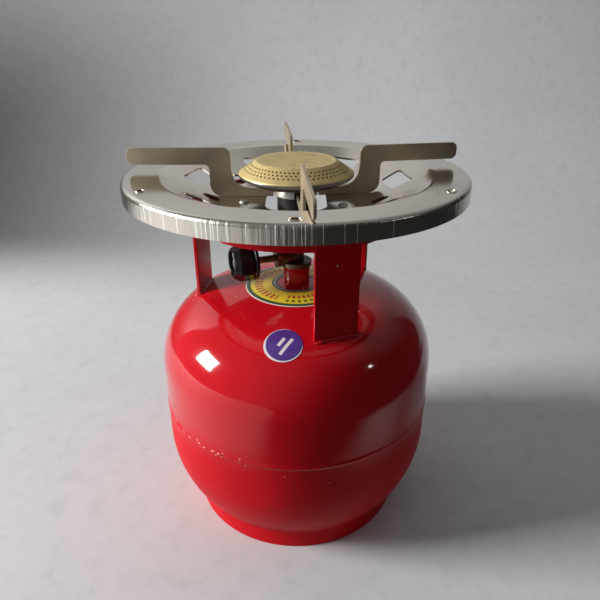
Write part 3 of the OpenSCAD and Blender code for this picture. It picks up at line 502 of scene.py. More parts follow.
def bowl_finish(c, s):
    """Pressed steel, darkened below its rim by painted shade."""
    f = new_finish("burner_steel")
    p = f.place()
    _, _, z = f.split(p)
    clouds = f.cloud(p, 90.0, 5.0)
    grain = f.cloud(p, 600.0, 4.0)
    under = LIP_Z - s.bowl_rim_h
    # Painted shade: darker and rougher below the rim.
    painted_shade_under_rim = 1 - f.step(z + 0.0015 * (clouds - 0.5), under - 0.6 * MM, under + 0.3 * MM)
    tone = f.mix(f.step(clouds, 0.35, 0.72), tuple(c.bowl_steel), shade(c.bowl_steel, 0.55))
    tone = f.mix(painted_shade_under_rim * 0.85, tone, shade(c.bowl_steel, 0.12))
    rough = 0.20 + 0.20 * clouds + 0.08 * grain + 0.30 * painted_shade_under_rim
    height = (grain - 0.5) * 0.00003 + (clouds - 0.5) * 0.00006
    return f.surface(base_color=tone, metallic=1.0, roughness=rough, normal=f.bump(height, 1.0, 0.8))


def tube_finish(c):
    """Blackened steel with a scaly grain."""
    f = new_finish("black_steel")
    p = f.place()
    clouds = f.cloud(p, 120.0, 5.0)
    tone = f.mix(f.step(clouds, 0.4, 0.75), tuple(c.tube_black), (0.055, 0.05, 0.046))
    rough = 0.30 + 0.30 * clouds
    normal = f.bump(f.cloud(p, 800.0, 3.0) * 0.00004, 1.0, 0.8)
    return f.surface(base_color=tone, metallic=0.4, roughness=rough, normal=normal)


def knob_finish(c):
    """Glossy moulded plastic with handling marks."""
    f = new_finish("knob_black")
    p = f.place()
    smears = f.cloud(p, 120.0, 5.0)
    scratch = f.step(f.cloud(f.stretch(p, (1.0, 0.3, 0.12)), 900.0, 3.0), 0.66, 0.74)
    tone = f.mix(scratch * 0.3, tuple(c.knob_black), (0.10, 0.10, 0.10))
    rough = 0.20 + 0.18 * smears + 0.15 * scratch
    normal = f.bump(f.cloud(p, 260.0, 2.0) * 0.00006, 1.0, 0.6)
    return f.surface(base_color=tone, roughness=rough, specular_ior_level=0.42, normal=normal)


def rubber_finish(c):
    """Matte rubber."""
    f = new_finish("seal_rubber")
    p = f.place()
    clouds = f.cloud(p, 300.0, 4.0)
    tone = f.mix(clouds, tuple(c.rubber), shade(c.rubber, 2.0))
    return f.surface(base_color=tone, roughness=0.6 + 0.2 * clouds, normal=f.bump(clouds * 0.00004, 1.0))


def label_finish(c):
    """Printed ring: plain coloured bands and rows of ticks."""
    f = new_finish("label_yellow")
    p = f.place()
    reach, turn = f.round_about(p)
    edge = 0.12 * MM
    yellow_r, border_r, paper_r = 18.0 * MM, 33.4 * MM, 36.2 * MM
    in_yellow = f.step(reach, yellow_r - edge, yellow_r + edge)
    tone = f.mix(in_yellow, tuple(c.label_green), tuple(c.label_yellow))
    tone = f.mix(f.band(reach, 15.6 * MM, 16.6 * MM, edge) * 0.5, tone, tuple(c.label_white))
    ticks = abs(f.node("ShaderNodeMath", {"operation": "SINE"}, {0: turn * 22.0}))
    broad = f.step(ticks, 0.52, 0.60)
    narrow = f.step(ticks, 0.60, 0.68)
    at_left = 1 - f.band(turn, radians(-118), radians(20), 0.02)
    at_front = f.band(turn, radians(-104), radians(6), 0.02)
    rows = (
        (broad * at_left, 24.6, 30.4, c.label_red),
        (broad * at_front, 22.4, 26.4, c.label_red),
        (narrow * at_front, 28.4, 31.2, c.label_green),
    )
    for row, inner, outer, ink in rows:
        tone = f.mix(row * f.band(reach, inner * MM, outer * MM, edge) * 0.9, tone, tuple(ink))
    tone = f.mix(f.step(reach, border_r - edge, border_r + edge), tone, tuple(c.label_green))
    tone = f.mix(f.step(reach, paper_r - edge, paper_r + edge), tone, tuple(c.label_white))
    wear = f.step(f.cloud(p, 260.0, 4.0, 0.65), 0.62, 0.74)
    tone = f.mix(wear * 0.35, tone, tuple(c.label_white))
    clouds = f.cloud(p, 140.0, 4.0)
    rough = 0.28 + 0.2 * clouds + 0.2 * wear
    return f.surface(base_color=tone, roughness=rough, coat_weight=0.3, coat_roughness=0.15,
                     normal=f.bump(clouds * 0.00005, 1.0, 0.6))


def sticker_finish(c, s, centre, across, up):
    """Plain purple disc with a pale border and two plain bars."""
    f = new_finish("sticker_purple")
    p = f.place()
    x = f.along(p, centre, across)
    y = f.along(p, centre, up)
    off_x, off_y = x - 0.55 * MM, y - 0.30 * MM
    reach = (off_x * off_x + off_y * off_y) ** 0.5
    edge = 0.1 * MM
    border = s.sticker_r - 0.60 * MM
    lean = radians(60)
    u = x * cos(lean) + y * sin(lean)
    v = y * cos(lean) - x * sin(lean)
    bars = f.band(v, 0.9 * MM, 3.0 * MM, edge) * f.band(u, -2.6 * MM, 4.2 * MM, edge)
    bars = bars + f.band(v, -3.6 * MM, -1.5 * MM, edge) * f.band(u, -7.0 * MM, 6.6 * MM, edge)
    fade = f.cloud(p, 160.0, 4.0)
    tone = f.mix(f.step(fade, 0.35, 0.8), tuple(c.sticker_purple), shade(c.sticker_purple, 1.25))
    tone = f.mix(bars, tone, (0.78, 0.76, 0.78))
    tone = f.mix(f.step(reach, border - edge, border + edge), tone, (0.82, 0.80, 0.80))
    return f.surface(base_color=tone, roughness=0.24 + 0.16 * fade, coat_weight=0.4, coat_roughness=0.1,
                     normal=f.bump(fade * 0.00005, 1.0, 0.5))


def stage_finish(c):
    """Pale floor with a faint mottle; painted shade darkens its far left corner, and painted shadow darkens
    it out of view in front and to the right.
    """
    f = new_finish("stage_floor")
    p = f.place()
    broad = f.cloud(p, 3.0, 4.0)
    fine = f.cloud(p, 60.0, 6.0, 0.7)
    x, y, z = f.split(p)
    # Painted shade: the far left corner of the floor and backdrop goes nearly black.
    corner = (1 - f.step(x, -0.80, 0.30)) * f.step(y, 0.28, 0.62) * (1 - f.step(z, 0.15, 0.90))
    tone = f.mix(f.step(broad, 0.3, 0.7), tuple(c.floor), shade(c.floor, 0.93))
    tone = f.mix(f.step(fine, 0.45, 0.75) * 0.5, tone, shade(c.floor, 0.76))
    tone = f.mix(corner, tone, shade(c.floor, 0.04))
    # Painted shadow: the floor goes dark out of view in front and to the right.
    front_shadow_slant, front_shadow_shift = 0.2545, 0.0418
    right_shadow_slant, right_shadow_shift = 0.677, 0.3216
    front = (1 - f.step(y, -0.20, -0.14)) * f.step(x - front_shadow_slant * y + front_shadow_shift, -0.03, 0.05)
    right = f.step(x - right_shadow_slant * y - right_shadow_shift, 0.0, 0.09) * (1 - f.step(y, 0.42, 0.58))
    tone = f.mix(f.larger(front, right), tone, shade(c.floor, 0.05))
    normal = f.bump(fine * 0.0006, 1.0, 0.3)
    return f.surface(base_color=tone, roughness=0.62 + 0.2 * fine, specular_ior_level=0.3, normal=normal)


FINISHES = {}


def finish(name):
    """A material, made when it is first asked for."""
    makers = {
        "red_enamel": lambda c, s: enamel_finish(c),
        "stainless_pan": pan_finish,
        "stainless_arm": lambda c, s: arm_finish(c),
        "burner_brass": cap_finish,
        "burner_steel": bowl_finish,
        "black_steel": lambda c, s: tube_finish(c),
        "zinc_steel": lambda c, s: metal_finish(
            "zinc_steel", tuple(c.zinc), shade(c.zinc, 0.7),
            rough_low=0.30, rough_high=0.5, grain_scale=900.0, depth=0.00002),
        "valve_brass": lambda c, s: metal_finish(
            "valve_brass", tuple(c.valve_brass), shade(c.valve_brass, 0.45),
            rough_low=0.26, rough_high=0.5, grain_scale=700.0, depth=0.00003),
        "knob_black": lambda c, s: knob_finish(c),
        "seal_rubber": lambda c, s: rubber_finish(c),
        "label_yellow": lambda c, s: label_finish(c),
    }
    if name not in FINISHES:
        scene = bpy.context.scene
        FINISHES[name] = makers[name](scene.stove_colours, scene.stove_sizes)
    return FINISHES[name]


# Shapes.
def arc(cx, cy, r, a0, a1, steps=16):
    """Points of an arc, angles in radians."""
    turns = [a0 + (a1 - a0) * i / steps for i in range(steps + 1)]
    return [(cx + r * cos(a), cy + r * sin(a)) for a in turns]


def rounded(points, steps=8):
    """Closed outline through (x, y, corner radius) points."""
    out = []
    for before, here, after in zip(points[-1:] + points[:-1], points, points[1:] + points[:1]):
        x, y, r = here
        if r <= 0:
            out.append((x, y))
            continue
        corner = Vector((x, y))
        back = (Vector(before[:2]) - corner).normalized()
        on = (Vector(after[:2]) - corner).normalized()
        half = acos(max(-1.0, min(1.0, back.dot(on)))) / 2
        centre = corner + (back + on).normalized() * r / sin(half)
        start = corner + back * r / tan(half) - centre
        end = corner + on * r / tan(half) - centre
        a0 = atan2(start.y, start.x)
        turn = (atan2(end.y, end.x) - a0 + pi) % tau - pi
        out += arc(centre.x, centre.y, r, a0, a0 + turn, steps)
    return out


def outwards(az, x, y, z):
    """Point at x out along an azimuth, y across it and height z."""
    return Vector((x * sin(az) + y * cos(az), -x * cos(az) + y * sin(az), z))


def bridge(bm, loops, around=True, along=False):
    """Faces between loops of points, closed round each loop and, if asked, from last loop to first."""
    for a, b in zip(loops, loops[1:] + loops[:1] if along else loops[1:]):
        for i in range(len(a) if around else len(a) - 1):
            j = (i + 1) % len(a)
            bm.faces.new((a[i], b[i], b[j], a[j]))


def revolve(profile, steps=192, shape=None, closed=True):
    """Mesh of revolution; shape(r, z, angle) may shift its points."""
    bm = bmesh.new()
    rings = []
    for i in range(steps):
        a = tau * i / steps
        points = [shape(r, z, a) if shape else (r, z) for r, z in profile]
        rings.append([bm.verts.new((r * cos(a), r * sin(a), z)) for r, z in points])
    bridge(bm, rings, closed, True)
    bmesh.ops.remove_doubles(bm, verts=bm.verts, dist=1e-6)
    bmesh.ops.recalc_face_normals(bm, faces=bm.faces)
    return bm


def plate(outline, thickness, place):
    """Sheet of a closed outline; place(x, y, t) gives each point, t across the sheet."""
    bm = bmesh.new()
    sides = [[bm.verts.new(place(x, y, t)) for x, y in outline] for t in (-thickness / 2, thickness / 2)]
    bm.faces.new(sides[0])
    bm.faces.new(reversed(sides[1]))
    bridge(bm, sides)
    bmesh.ops.recalc_face_normals(bm, faces=bm.faces)
    return bm


def soften(bm, width, sharpest=30.0, segments=2):
    """Rounds the edges that are sharper than an angle."""
    edges = [e for e in bm.edges if len(e.link_faces) == 2 and e.calc_face_angle(0.0) > radians(sharpest)]
    bmesh.ops.bevel(bm, geom=edges, offset=width, segments=segments, affect="EDGES", profile=0.5,
                    clamp_overlap=True)
    return bm


def add_piece(name, bm, slot, stands_for=(), body="stove", sharp=35.0, material=None):
    """Turns a mesh into a piece that rides on a body and stands for solids."""
    mesh = bpy.data.meshes.new(name)
    bm.to_mesh(mesh)
    bm.free()
    mesh.shade_smooth()
    mesh.set_sharp_from_angle(angle=radians(sharp))
    mesh.materials.append(material or finish(slot))
    piece = bpy.data.objects.new(name, mesh)
    bpy.context.scene.collection.objects.link(piece)
    normals = piece.modifiers.new("flat_faces", "WEIGHTED_NORMAL")
    normals.keep_sharp = True
    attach(piece, body)
    if stands_for:
        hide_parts(*stands_for)
    return piece


def dress(node, slot):
    """Gives a solid that shows as it is its finish."""
    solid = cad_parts[node]
    solid.data.materials.clear()
    solid.data.materials.append(finish(slot))


def merged(bm, other):
    """Adds another mesh to a mesh."""
    spare = bpy.data.meshes.new("spare")
    other.to_mesh(spare)
    other.free()
    bm.from_mesh(spare)
    bpy.data.meshes.remove(spare)
    return bm


def ripple(x, y, z, scale):
    """Smooth noise about zero at a position."""
    return noise.noise(Vector((x, y, z)) * scale)


# The bottle's curves.
def lower_levels(s):
    """Centres of the lower shell's curves: knuckle, bottom crown and start of the straight wall."""
    cx = BOTTLE_R - s.side_r + (s.side_r - s.knuckle_r) * cos(s.side_end)
    crown_r = (cx + s.knuckle_r * cos(s.crown_angle)) / cos(s.crown_angle)
    cz = BOTTLE_LOW + crown_r - (crown_r - s.knuckle_r) * sin(s.crown_angle)
    return cx, cz, crown_r, cz + (s.side_r - s.knuckle_r) * sin(s.side_end)


def upper_levels(s):
    """Start of the shoulder, its centre's radius, and the crown's radius, centre and edge angle."""
    z1 = lower_levels(s)[3] + s.straight_h
    cx = BOTTLE_R - s.shoulder_r
    crown_r = (s.head_h ** 2 - s.shoulder_r ** 2 + cx ** 2) / (2 * (s.head_h - s.shoulder_r))
    crown_cz = z1 + s.head_h - crown_r
    return z1, cx, crown_r, crown_cz, atan2(z1 - crown_cz, cx)


def lower_curve(s, grow, steps):
    """Lower shell from the axis to the seam, grown outwards."""
    cx, cz, crown_r, z0 = lower_levels(s)
    crown = arc(0, BOTTLE_LOW + crown_r, crown_r + grow, -pi / 2, -s.crown_angle, 8)
    knuckle = arc(cx, cz, s.knuckle_r + grow, -s.crown_angle, -s.side_end, steps)
    side = arc(BOTTLE_R - s.side_r, z0, s.side_r + grow, -s.side_end, 0, steps)
    wall = [(BOTTLE_R + grow, z0 + (SEAM_Z - z0) * i / 4) for i in range(1, 5)]
    return crown + knuckle[1:] + side[1:] + wall


def upper_curve(s, grow, r_end, steps):
    """Upper shell from the seam to a radius near the neck, grown outwards."""
    z1, cx, crown_r, crown_cz, edge = upper_levels(s)
    wall = [(BOTTLE_R + grow, SEAM_Z + (z1 - SEAM_Z) * i / 4) for i in range(4)]
    shoulder = arc(cx, z1, s.shoulder_r + grow, 0, edge, steps)
    crown = arc(0, crown_cz, crown_r + grow, edge, acos(r_end / (crown_r + grow)), steps)
    return wall + shoulder + crown[1:]


def dome_height(s, r):
    """Height of the bottle's outside at a distance from the axis."""
    z1, cx, crown_r, crown_cz, edge = upper_levels(s)
    if r < cx + s.shoulder_r * cos(edge):
        return crown_cz + sqrt(crown_r ** 2 - r ** 2)
    return z1 + sqrt(s.shoulder_r ** 2 - (r - cx) ** 2)


def pan_floor(s):
    """Height of the pan's floor, which lies on the stand ring."""
    return RING_TOP + s.pan_t


def arm_azimuths(s):
    """Azimuth of each pan support."""
    return {"front": s.arm_az, "right": s.arm_az + s.arm_spread, "rear": s.arm_az + pi,
            "left": s.arm_az - s.arm_spread}


class StoveOperator:
    """What the operators share."""

    bl_options = {"REGISTER", "UNDO"}

    def execute(self, context):
        self.make(context.scene.stove_sizes, context.scene.stove_colours)
        return {"FINISHED"}


class STOVE_OT_bottle(StoveOperator, bpy.types.Operator):
    """Two pressed half shells, the bead that joins them, the neck bush and the foot ring"""

    bl_idname = "stove.bottle"
    bl_label = "Bottle"

    def make(self, s, c):
        def pressed(r, z, a):
            return r + 0.10 * MM * ripple(cos(a), sin(a), z * 14, 1.7), z

        hole = low("neck_bush").x * -1 + 0.05 * MM
        outer, inner = upper_curve(s, 0, hole, 28), upper_curve(s, -s.wall, hole, 28)
        add_piece("bottle_upper", revolve(outer + inner[::-1], 256, pressed), "red_enamel", ["upper_shell"])
        outer, inner = lower_curve(s, 0, 24), lower_curve(s, -s.wall, 24)
        add_piece("bottle_lower", revolve(outer + inner[::-1], 256, pressed, closed=False),
                  "red_enamel", ["lower_shell"])
        self.girth_bead(s)
        self.foot(s)
        bush_lo, bush_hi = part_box("neck_bush")
        bore_r = 6.6 * MM
        edge = 0.7 * MM
        bush = rounded([(bush_hi.x, bush_lo.z, 0), (bush_hi.x, bush_hi.z, edge), (bore_r, bush_hi.z, 0),
                        (bore_r, bush_lo.z, 0)])
        add_piece("neck_bush_turned", revolve(bush, 96), "red_enamel", ["neck_bush"])

    def girth_bead(self, s):
        """Uneven weld bead, with lumps that swell and fade round the seam."""
        half = s.bead_w / 2
        root = BOTTLE_R - 0.6 * MM
        rough_az, rough_half = radians(-40), radians(25)

        def lumpy(r, z, a):
            if r < BOTTLE_R:
                return r, z
            x, y = cos(a), sin(a)
            off = (atan2(x, -y) - rough_az) / rough_half
            rough = exp(-off ** 4) + 0.12 * max(0.0, ripple(x, y, 3.1, 2.2))
            grains = ripple(x, y, z * 300, 44.0) + 0.7 * ripple(x, y, z * 700, 110.0)
            dome = max(0.0, 1 - abs(z - SEAM_Z) / half)
            proud = (r - BOTTLE_R) * (0.8 + 0.5 * ripple(x, y, 0.4, 3.0))
            proud += s.bead_lump * rough * dome * max(0.0, grains) * 1.3
            sway = 0.5 * MM * ripple(x, y, 5.0, 5.0)
            return BOTTLE_R + min(proud, s.bead_lump), z + sway

        top = [(BOTTLE_R + s.bead_h * cos(t * pi / 2) ** 2, SEAM_Z + half * t)
               for t in [i / 6 - 1 for i in range(13)]]
        profile = top + [(root, SEAM_Z + half), (root, SEAM_Z - half)]
        add_piece("girth_bead", revolve(profile, 900, lumpy), "red_enamel", ["girth_weld"], sharp=60)

    def foot(self, s):
        """Foot strip with rolled edges, and the fillet that joins it to the bottle."""
        top = high("foot_ring").z
        inner_top = top - 2.0 * MM
        strip = rounded([(FOOT_R - s.foot_t, 0, 0.8 * MM), (FOOT_R, 0, 0.8 * MM), (FOOT_R, top, 0),
                         (FOOT_R - s.foot_t, inner_top, 0)])

        def bent(r, z, a):
            return r + 0.25 * MM * ripple(cos(a), sin(a), z * 20, 1.4), z

        add_piece("foot_strip", revolve(strip, 224, bent), "red_enamel", ["foot_ring"])
        lo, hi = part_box("foot_weld")
        fillet = rounded([(FOOT_R - 0.3 * MM, lo.z, 0), (hi.x, hi.z, 0), (FOOT_R - 0.3 * MM, hi.z, 0)])

        def uneven(r, z, a):
            return r + 0.35 * MM * ripple(cos(a), sin(a), z * 90, 26.0), z

        add_piece("foot_fillet", revolve(fillet, 400, uneven), "red_enamel", ["foot_weld"], sharp=60)


class STOVE_OT_labels(StoveOperator, bpy.types.Operator):
    """Ring label round the neck and round sticker on the shoulder"""

    bl_idname = "stove.labels"
    bl_label = "Labels"

    def make(self, s, c):
        _, _, crown_r, crown_cz, _ = upper_levels(s)

        def skin(grow):
            r = crown_r + grow
            return arc(0, crown_cz, r, acos(LABEL_R / r), acos(s.label_in_r / r), 24)

        ring = skin(s.label_t) + skin(0.05 * MM)[::-1]
        add_piece("neck_label", revolve(ring, 160), "label_yellow", ["ring_label"])
        self.sticker(s, c)

    def sticker(self, s, c):
        """Disc that follows the shoulder's double curve."""
        z1, cx, _, _, _ = upper_levels(s)
        tilt = acos((s.sticker_reach - cx) / s.shoulder_r)

        def on_shoulder(x, y, grow):
            a = tilt + y / s.shoulder_r
            r = s.shoulder_r + grow
            return outwards(s.sticker_az + x / s.sticker_reach, cx + r * cos(a), 0, z1 + r * sin(a))

        bm = bmesh.new()
        around, rings = 64, 14
        centre = bm.verts.new(on_shoulder(0, 0, s.label_t))
        radii = [(s.sticker_r * i / rings, s.label_t) for i in range(1, rings + 1)]
        radii.append((s.sticker_r, 0.03 * MM))
        loops = [[bm.verts.new(on_shoulder(r * cos(tau * i / around), r * sin(tau * i / around), grow))
                  for i in range(around)] for r, grow in radii]
        for i in range(around):
            bm.faces.new((centre, loops[0][i], loops[0][(i + 1) % around]))
        bridge(bm, loops)
        bmesh.ops.recalc_face_normals(bm, faces=bm.faces)
        middle = on_shoulder(0, 0, s.label_t)
        across = (on_shoulder(MM, 0, 0) - on_shoulder(-MM, 0, 0)).normalized()
        up = (on_shoulder(0, MM, 0) - on_shoulder(0, -MM, 0)).normalized()
        look = sticker_finish(c, s, middle, across, up)
        add_piece("shoulder_disc", bm, "sticker_purple", ["shoulder_sticker"], material=look)


class STOVE_OT_stand(StoveOperator, bpy.types.Operator):
    """Strap legs with their weld beads, and the ring that joins their tops"""

    bl_idname = "stove.stand"
    bl_label = "Stand"

    def make(self, s, c):
        beads = bmesh.new()
        legs = {"front_leg": 0, "rear_leg": 120, "left_leg": -120}
        for node, turn in legs.items():
            az = s.leg_az + radians(turn)
            add_piece(f"{node}_strap", self.strap(s, az, high(node).z), "red_enamel", [node])
            for x in (s.leg_reach + 0.4 * MM, s.leg_reach - s.leg_t - 0.4 * MM):
                merged(beads, self.bead(s, az, x))
            for side in (-1, 1):
                merged(beads, self.tack(s, az, side))
        add_piece("leg_beads", beads, "red_enamel", ["leg_welds"], sharp=70)
        inner = RING_R - s.ring_t
        edge = 0.5 * MM
        ring = rounded([(inner, RING_LOW, edge), (RING_R, RING_LOW, edge), (RING_R, RING_TOP, 1.6 * MM),
                        (s.ring_hole_r, RING_TOP, edge), (s.ring_hole_r, RING_TOP - s.ring_t, edge),
                        (inner, RING_TOP - s.ring_t, 0)])
        add_piece("stand_ring_skirt", revolve(ring, 192), "red_enamel", ["stand_ring"])

    def strap(self, s, az, top):
        """Flat strap whose foot follows the bottle's shoulder."""
        columns = 14
        bm = bmesh.new()
        across = [s.leg_w * (i / columns - 0.5) for i in range(columns + 1)]
        sheets = []
        for x in (s.leg_reach - s.leg_t, s.leg_reach):
            foot = [bm.verts.new(outwards(az, x, y, dome_height(s, hypot(x, y)))) for y in across]
            head = [bm.verts.new(outwards(az, x, y, top)) for y in across]
            sheets.append((foot, head))
        (foot0, head0), (foot1, head1) = sheets
        for i in range(columns):
            bm.faces.new((foot0[i], foot0[i + 1], head0[i + 1], head0[i]))
            bm.faces.new((foot1[i], head1[i], head1[i + 1], foot1[i + 1]))
            bm.faces.new((foot0[i], foot1[i], foot1[i + 1], foot0[i + 1]))
            bm.faces.new((head0[i], head0[i + 1], head1[i + 1], head1[i]))
        for i in (0, columns):
            bm.faces.new((foot0[i], head0[i], head1[i], foot1[i]))
        bmesh.ops.recalc_face_normals(bm, faces=bm.faces)
        return soften(bm, 0.5 * MM, 60)

    def tack(self, s, az, side):
        """Drop of weld between the edge of a strap and the ring's skirt."""
        bm = bmesh.new()
        bmesh.ops.create_icosphere(bm, subdivisions=3, radius=1.0)
        for v in bm.verts:
            lump = 1 + 0.25 * ripple(v.co.x + side, v.co.y + az, v.co.z, 2.0)
            x, y, z = v.co * lump
            v.co = outwards(az, s.leg_reach - s.leg_t + x * 1.2 * MM, side * s.leg_w / 2 + y * 1.2 * MM,
                            RING_LOW + 3 * MM + z * 2.4 * MM)
        return bm

    def bead(self, s, az, x):
        """Lumpy bead of weld along the foot of a strap."""
        rings, sides = 60, 12
        bm = bmesh.new()
        loops = []
        for i in range(rings + 1):
            t = i / rings
            y = s.leg_w * (t - 0.5)
            lump = 1 + 0.45 * ripple(x * 50, y * 420, az, 1.0) + 0.25 * ripple(x * 50, y * 1300, az, 1.0)
            r = 1.6 * MM * lump * min(1.0, 12 * min(t, 1 - t) + 0.25)
            foot = dome_height(s, hypot(x, y)) - 0.2 * MM
            turns = [tau * k / sides for k in range(sides)]
            loops.append([bm.verts.new(outwards(az, x + r * cos(a), y, foot + r * sin(a))) for a in turns])
        bridge(bm, loops)
        bm.faces.new(loops[0])
        bm.faces.new(reversed(loops[-1]))
        bmesh.ops.recalc_face_normals(bm, faces=bm.faces)
        return bm


class STOVE_OT_pan(StoveOperator, bpy.types.Operator):
    """Drip pan of pressed sheet with its windows, vents, slots and raised slot lips"""

    bl_idname = "stove.pan"
    bl_label = "Drip pan"

    def make(self, s, c):
        sheet = revolve(self.profile(s), 240)
        pan = self.cut(sheet, self.cutters(s))
        soften(pan, 0.22 * MM, 50, 2)
        add_piece("pan_sheet", pan, "stainless_pan", ["drip_pan"], sharp=40)
        lips = bmesh.new()
        for i in range(s.slot_count):
            merged(lips, self.lip(s, tau * i / s.slot_count))
        add_piece("slot_lips", lips, "stainless_pan", sharp=60)

    def profile(self, s):
        """Section of the sheet, from inside the floor's opening out to the band."""
        floor = pan_floor(s)
        slope = atan2(RIM_Z - floor, s.rim_in_r - s.floor_r)
        shift = s.pan_t * tan(slope / 2)
        low_z = RIM_Z - s.pan_band_h
        start = 15 * MM
        return rounded([
            (start, floor, 0), (s.floor_r, floor, s.pan_bend_r), (s.rim_in_r, RIM_Z, s.pan_bend_r + s.pan_t),
            (PAN_R, RIM_Z, s.pan_edge_r), (PAN_R, low_z, 0), (PAN_R - s.pan_t, low_z, 0),
            (PAN_R - s.pan_t, RIM_Z - s.pan_t, s.pan_edge_r - s.pan_t),
            (s.rim_in_r + shift, RIM_Z - s.pan_t, s.pan_bend_r),
            (s.floor_r + shift, floor - s.pan_t, s.pan_bend_r + s.pan_t), (start, floor - s.pan_t, 0),
        ], 8)

    def cutters(self, s):
        """One mesh of upright prisms, a prism for each hole."""
        bm = bmesh.new()
        mid = (RIM_Z + RING_TOP) / 2
        tall = 60 * MM

        def prism(outline, az):
            merged(bm, plate(outline, tall, lambda x, y, t: outwards(az, x, y, mid + t)))

        half = s.window_angle / 2
        corner = s.window_corner_r
        window = rounded([(r * cos(half), side * r * sin(half), corner) for r, side in (
            (s.window_in_r, -1), (s.window_out_r, -1), (s.window_out_r, 1), (s.window_in_r, 1))])
        vent = arc(s.vent_reach, 0, s.vent_d / 2, 0, tau, 40)[:-1]
        for i in range(s.window_count):
            prism(window, s.window_az + tau * i / s.window_count)
            prism(vent, s.window_az + tau * (i + 0.5) / s.window_count)
        straight = (s.slot_l - s.slot_w) / 2
        slot = (arc(s.slot_reach, straight, s.slot_w / 2, 0, pi, 12)
                + arc(s.slot_reach, -straight, s.slot_w / 2, pi, tau, 12))
        for i in range(s.slot_count):
            prism(slot, tau * i / s.slot_count)
        w, l = s.opening_w / 2, s.opening_l / 2
        opening = rounded([(l, w, s.opening_corner_r), (-l, w, s.opening_corner_r),
                           (-l, -w, s.opening_corner_r), (l, -w, s.opening_corner_r)])
        prism(opening, 0)
        gap = 0.3 * MM
        tab = [(s.tab_in - gap, -s.arm_t / 2 - gap), (s.tab_in + s.tab_w + gap, -s.arm_t / 2 - gap),
               (s.tab_in + s.tab_w + gap, s.arm_t / 2 + gap), (s.tab_in - gap, s.arm_t / 2 + gap)]
        for az in arm_azimuths(s).values():
            prism(tab, az)
        return bm

    def cut(self, sheet, holes):
        """The sheet with its holes taken out."""
        made = []
        for name, bm in (("sheet", sheet), ("holes", holes)):
            mesh = bpy.data.meshes.new(name)
            bm.to_mesh(mesh)
            bm.free()
            made.append(bpy.data.objects.new(name, mesh))
            bpy.context.scene.collection.objects.link(made[-1])
        cutting = made[0].modifiers.new("holes", "BOOLEAN")
        cutting.operation = "DIFFERENCE"
        cutting.solver = "EXACT"
        cutting.object = made[1]
        bpy.context.view_layer.update()
        graph = bpy.context.evaluated_depsgraph_get()
        result = bpy.data.meshes.new_from_object(made[0].evaluated_get(graph))
        bm = bmesh.new()
        bm.from_mesh(result)
        bmesh.ops.dissolve_degenerate(bm, dist=1e-6, edges=bm.edges)
        for piece in made:
            mesh = piece.data
            bpy.data.objects.remove(piece)
            bpy.data.meshes.remove(mesh)
        bpy.data.meshes.remove(result)
        return bm

    def lip(self, s, az):
        """Raised rim round a slot, left by the punch."""
        straight = (s.slot_l - s.slot_w) / 2
        steps, sides = 14, 8
        sunk, proud = 0.05 * MM, 0.5 * MM
        path = [(straight, pi * i / steps) for i in range(steps + 1)]
        path += [(-straight, pi + pi * i / steps) for i in range(steps + 1)]
        bm = bmesh.new()
        loops = []
        for y, a in path:
            ring = []
            for k in range(sides + 1):
                t = pi * k / sides
                out = s.slot_w / 2 + 0.02 * MM + s.slot_lip / 2 * (1 - cos(t))
                z = RIM_Z - sunk + proud * sin(t)
                ring.append(bm.verts.new(outwards(az, s.slot_reach + out * cos(a), y + out * sin(a), z)))
            loops.append(ring)
        bridge(bm, loops, True, True)
        bmesh.ops.recalc_face_normals(bm, faces=bm.faces)
        return bm


class STOVE_OT_supports(StoveOperator, bpy.types.Operator):
    """Four upright pan supports of cut sheet"""

    bl_idname = "stove.supports"
    bl_label = "Pan supports"

    def make(self, s, c):
        for side, az in arm_azimuths(s).items():
            outline = self.outline(s, s.tip_drop if side == "front" else 0.0)
            bm = plate(outline, s.arm_t, lambda x, z, t: outwards(az, x, t, z))
            soften(bm, 0.35 * MM, 50)
            add_piece(f"{side}_support_sheet", bm, "stainless_arm", [f"{side}_pan_support"])

    def outline(self, s, drop):
        """Side view: foot on the pan's floor, riser, and bar out to a tip that may be bent down."""
        floor = pan_floor(s)
        bar_low = ARM_TOP - s.arm_bar_h
        foot_top = floor + s.arm_foot_h
        tab_out = s.tab_in + s.tab_w
        return rounded([
            (s.arm_reach, bar_low - drop, 4 * MM), (s.arm_reach, ARM_TOP - drop, 4 * MM),
            (s.riser_in, ARM_TOP, 5 * MM), (s.riser_in, foot_top, 12 * MM),
            (s.arm_foot_in, foot_top, 2 * MM), (s.arm_foot_in, floor, 0), (s.tab_in, floor, 0),
            (s.tab_in, ARM_LOW, MM), (tab_out, ARM_LOW, MM), (tab_out, floor, 0),
            (s.riser_out, floor, 8 * MM), (s.riser_out, bar_low, 3 * MM),
        ])


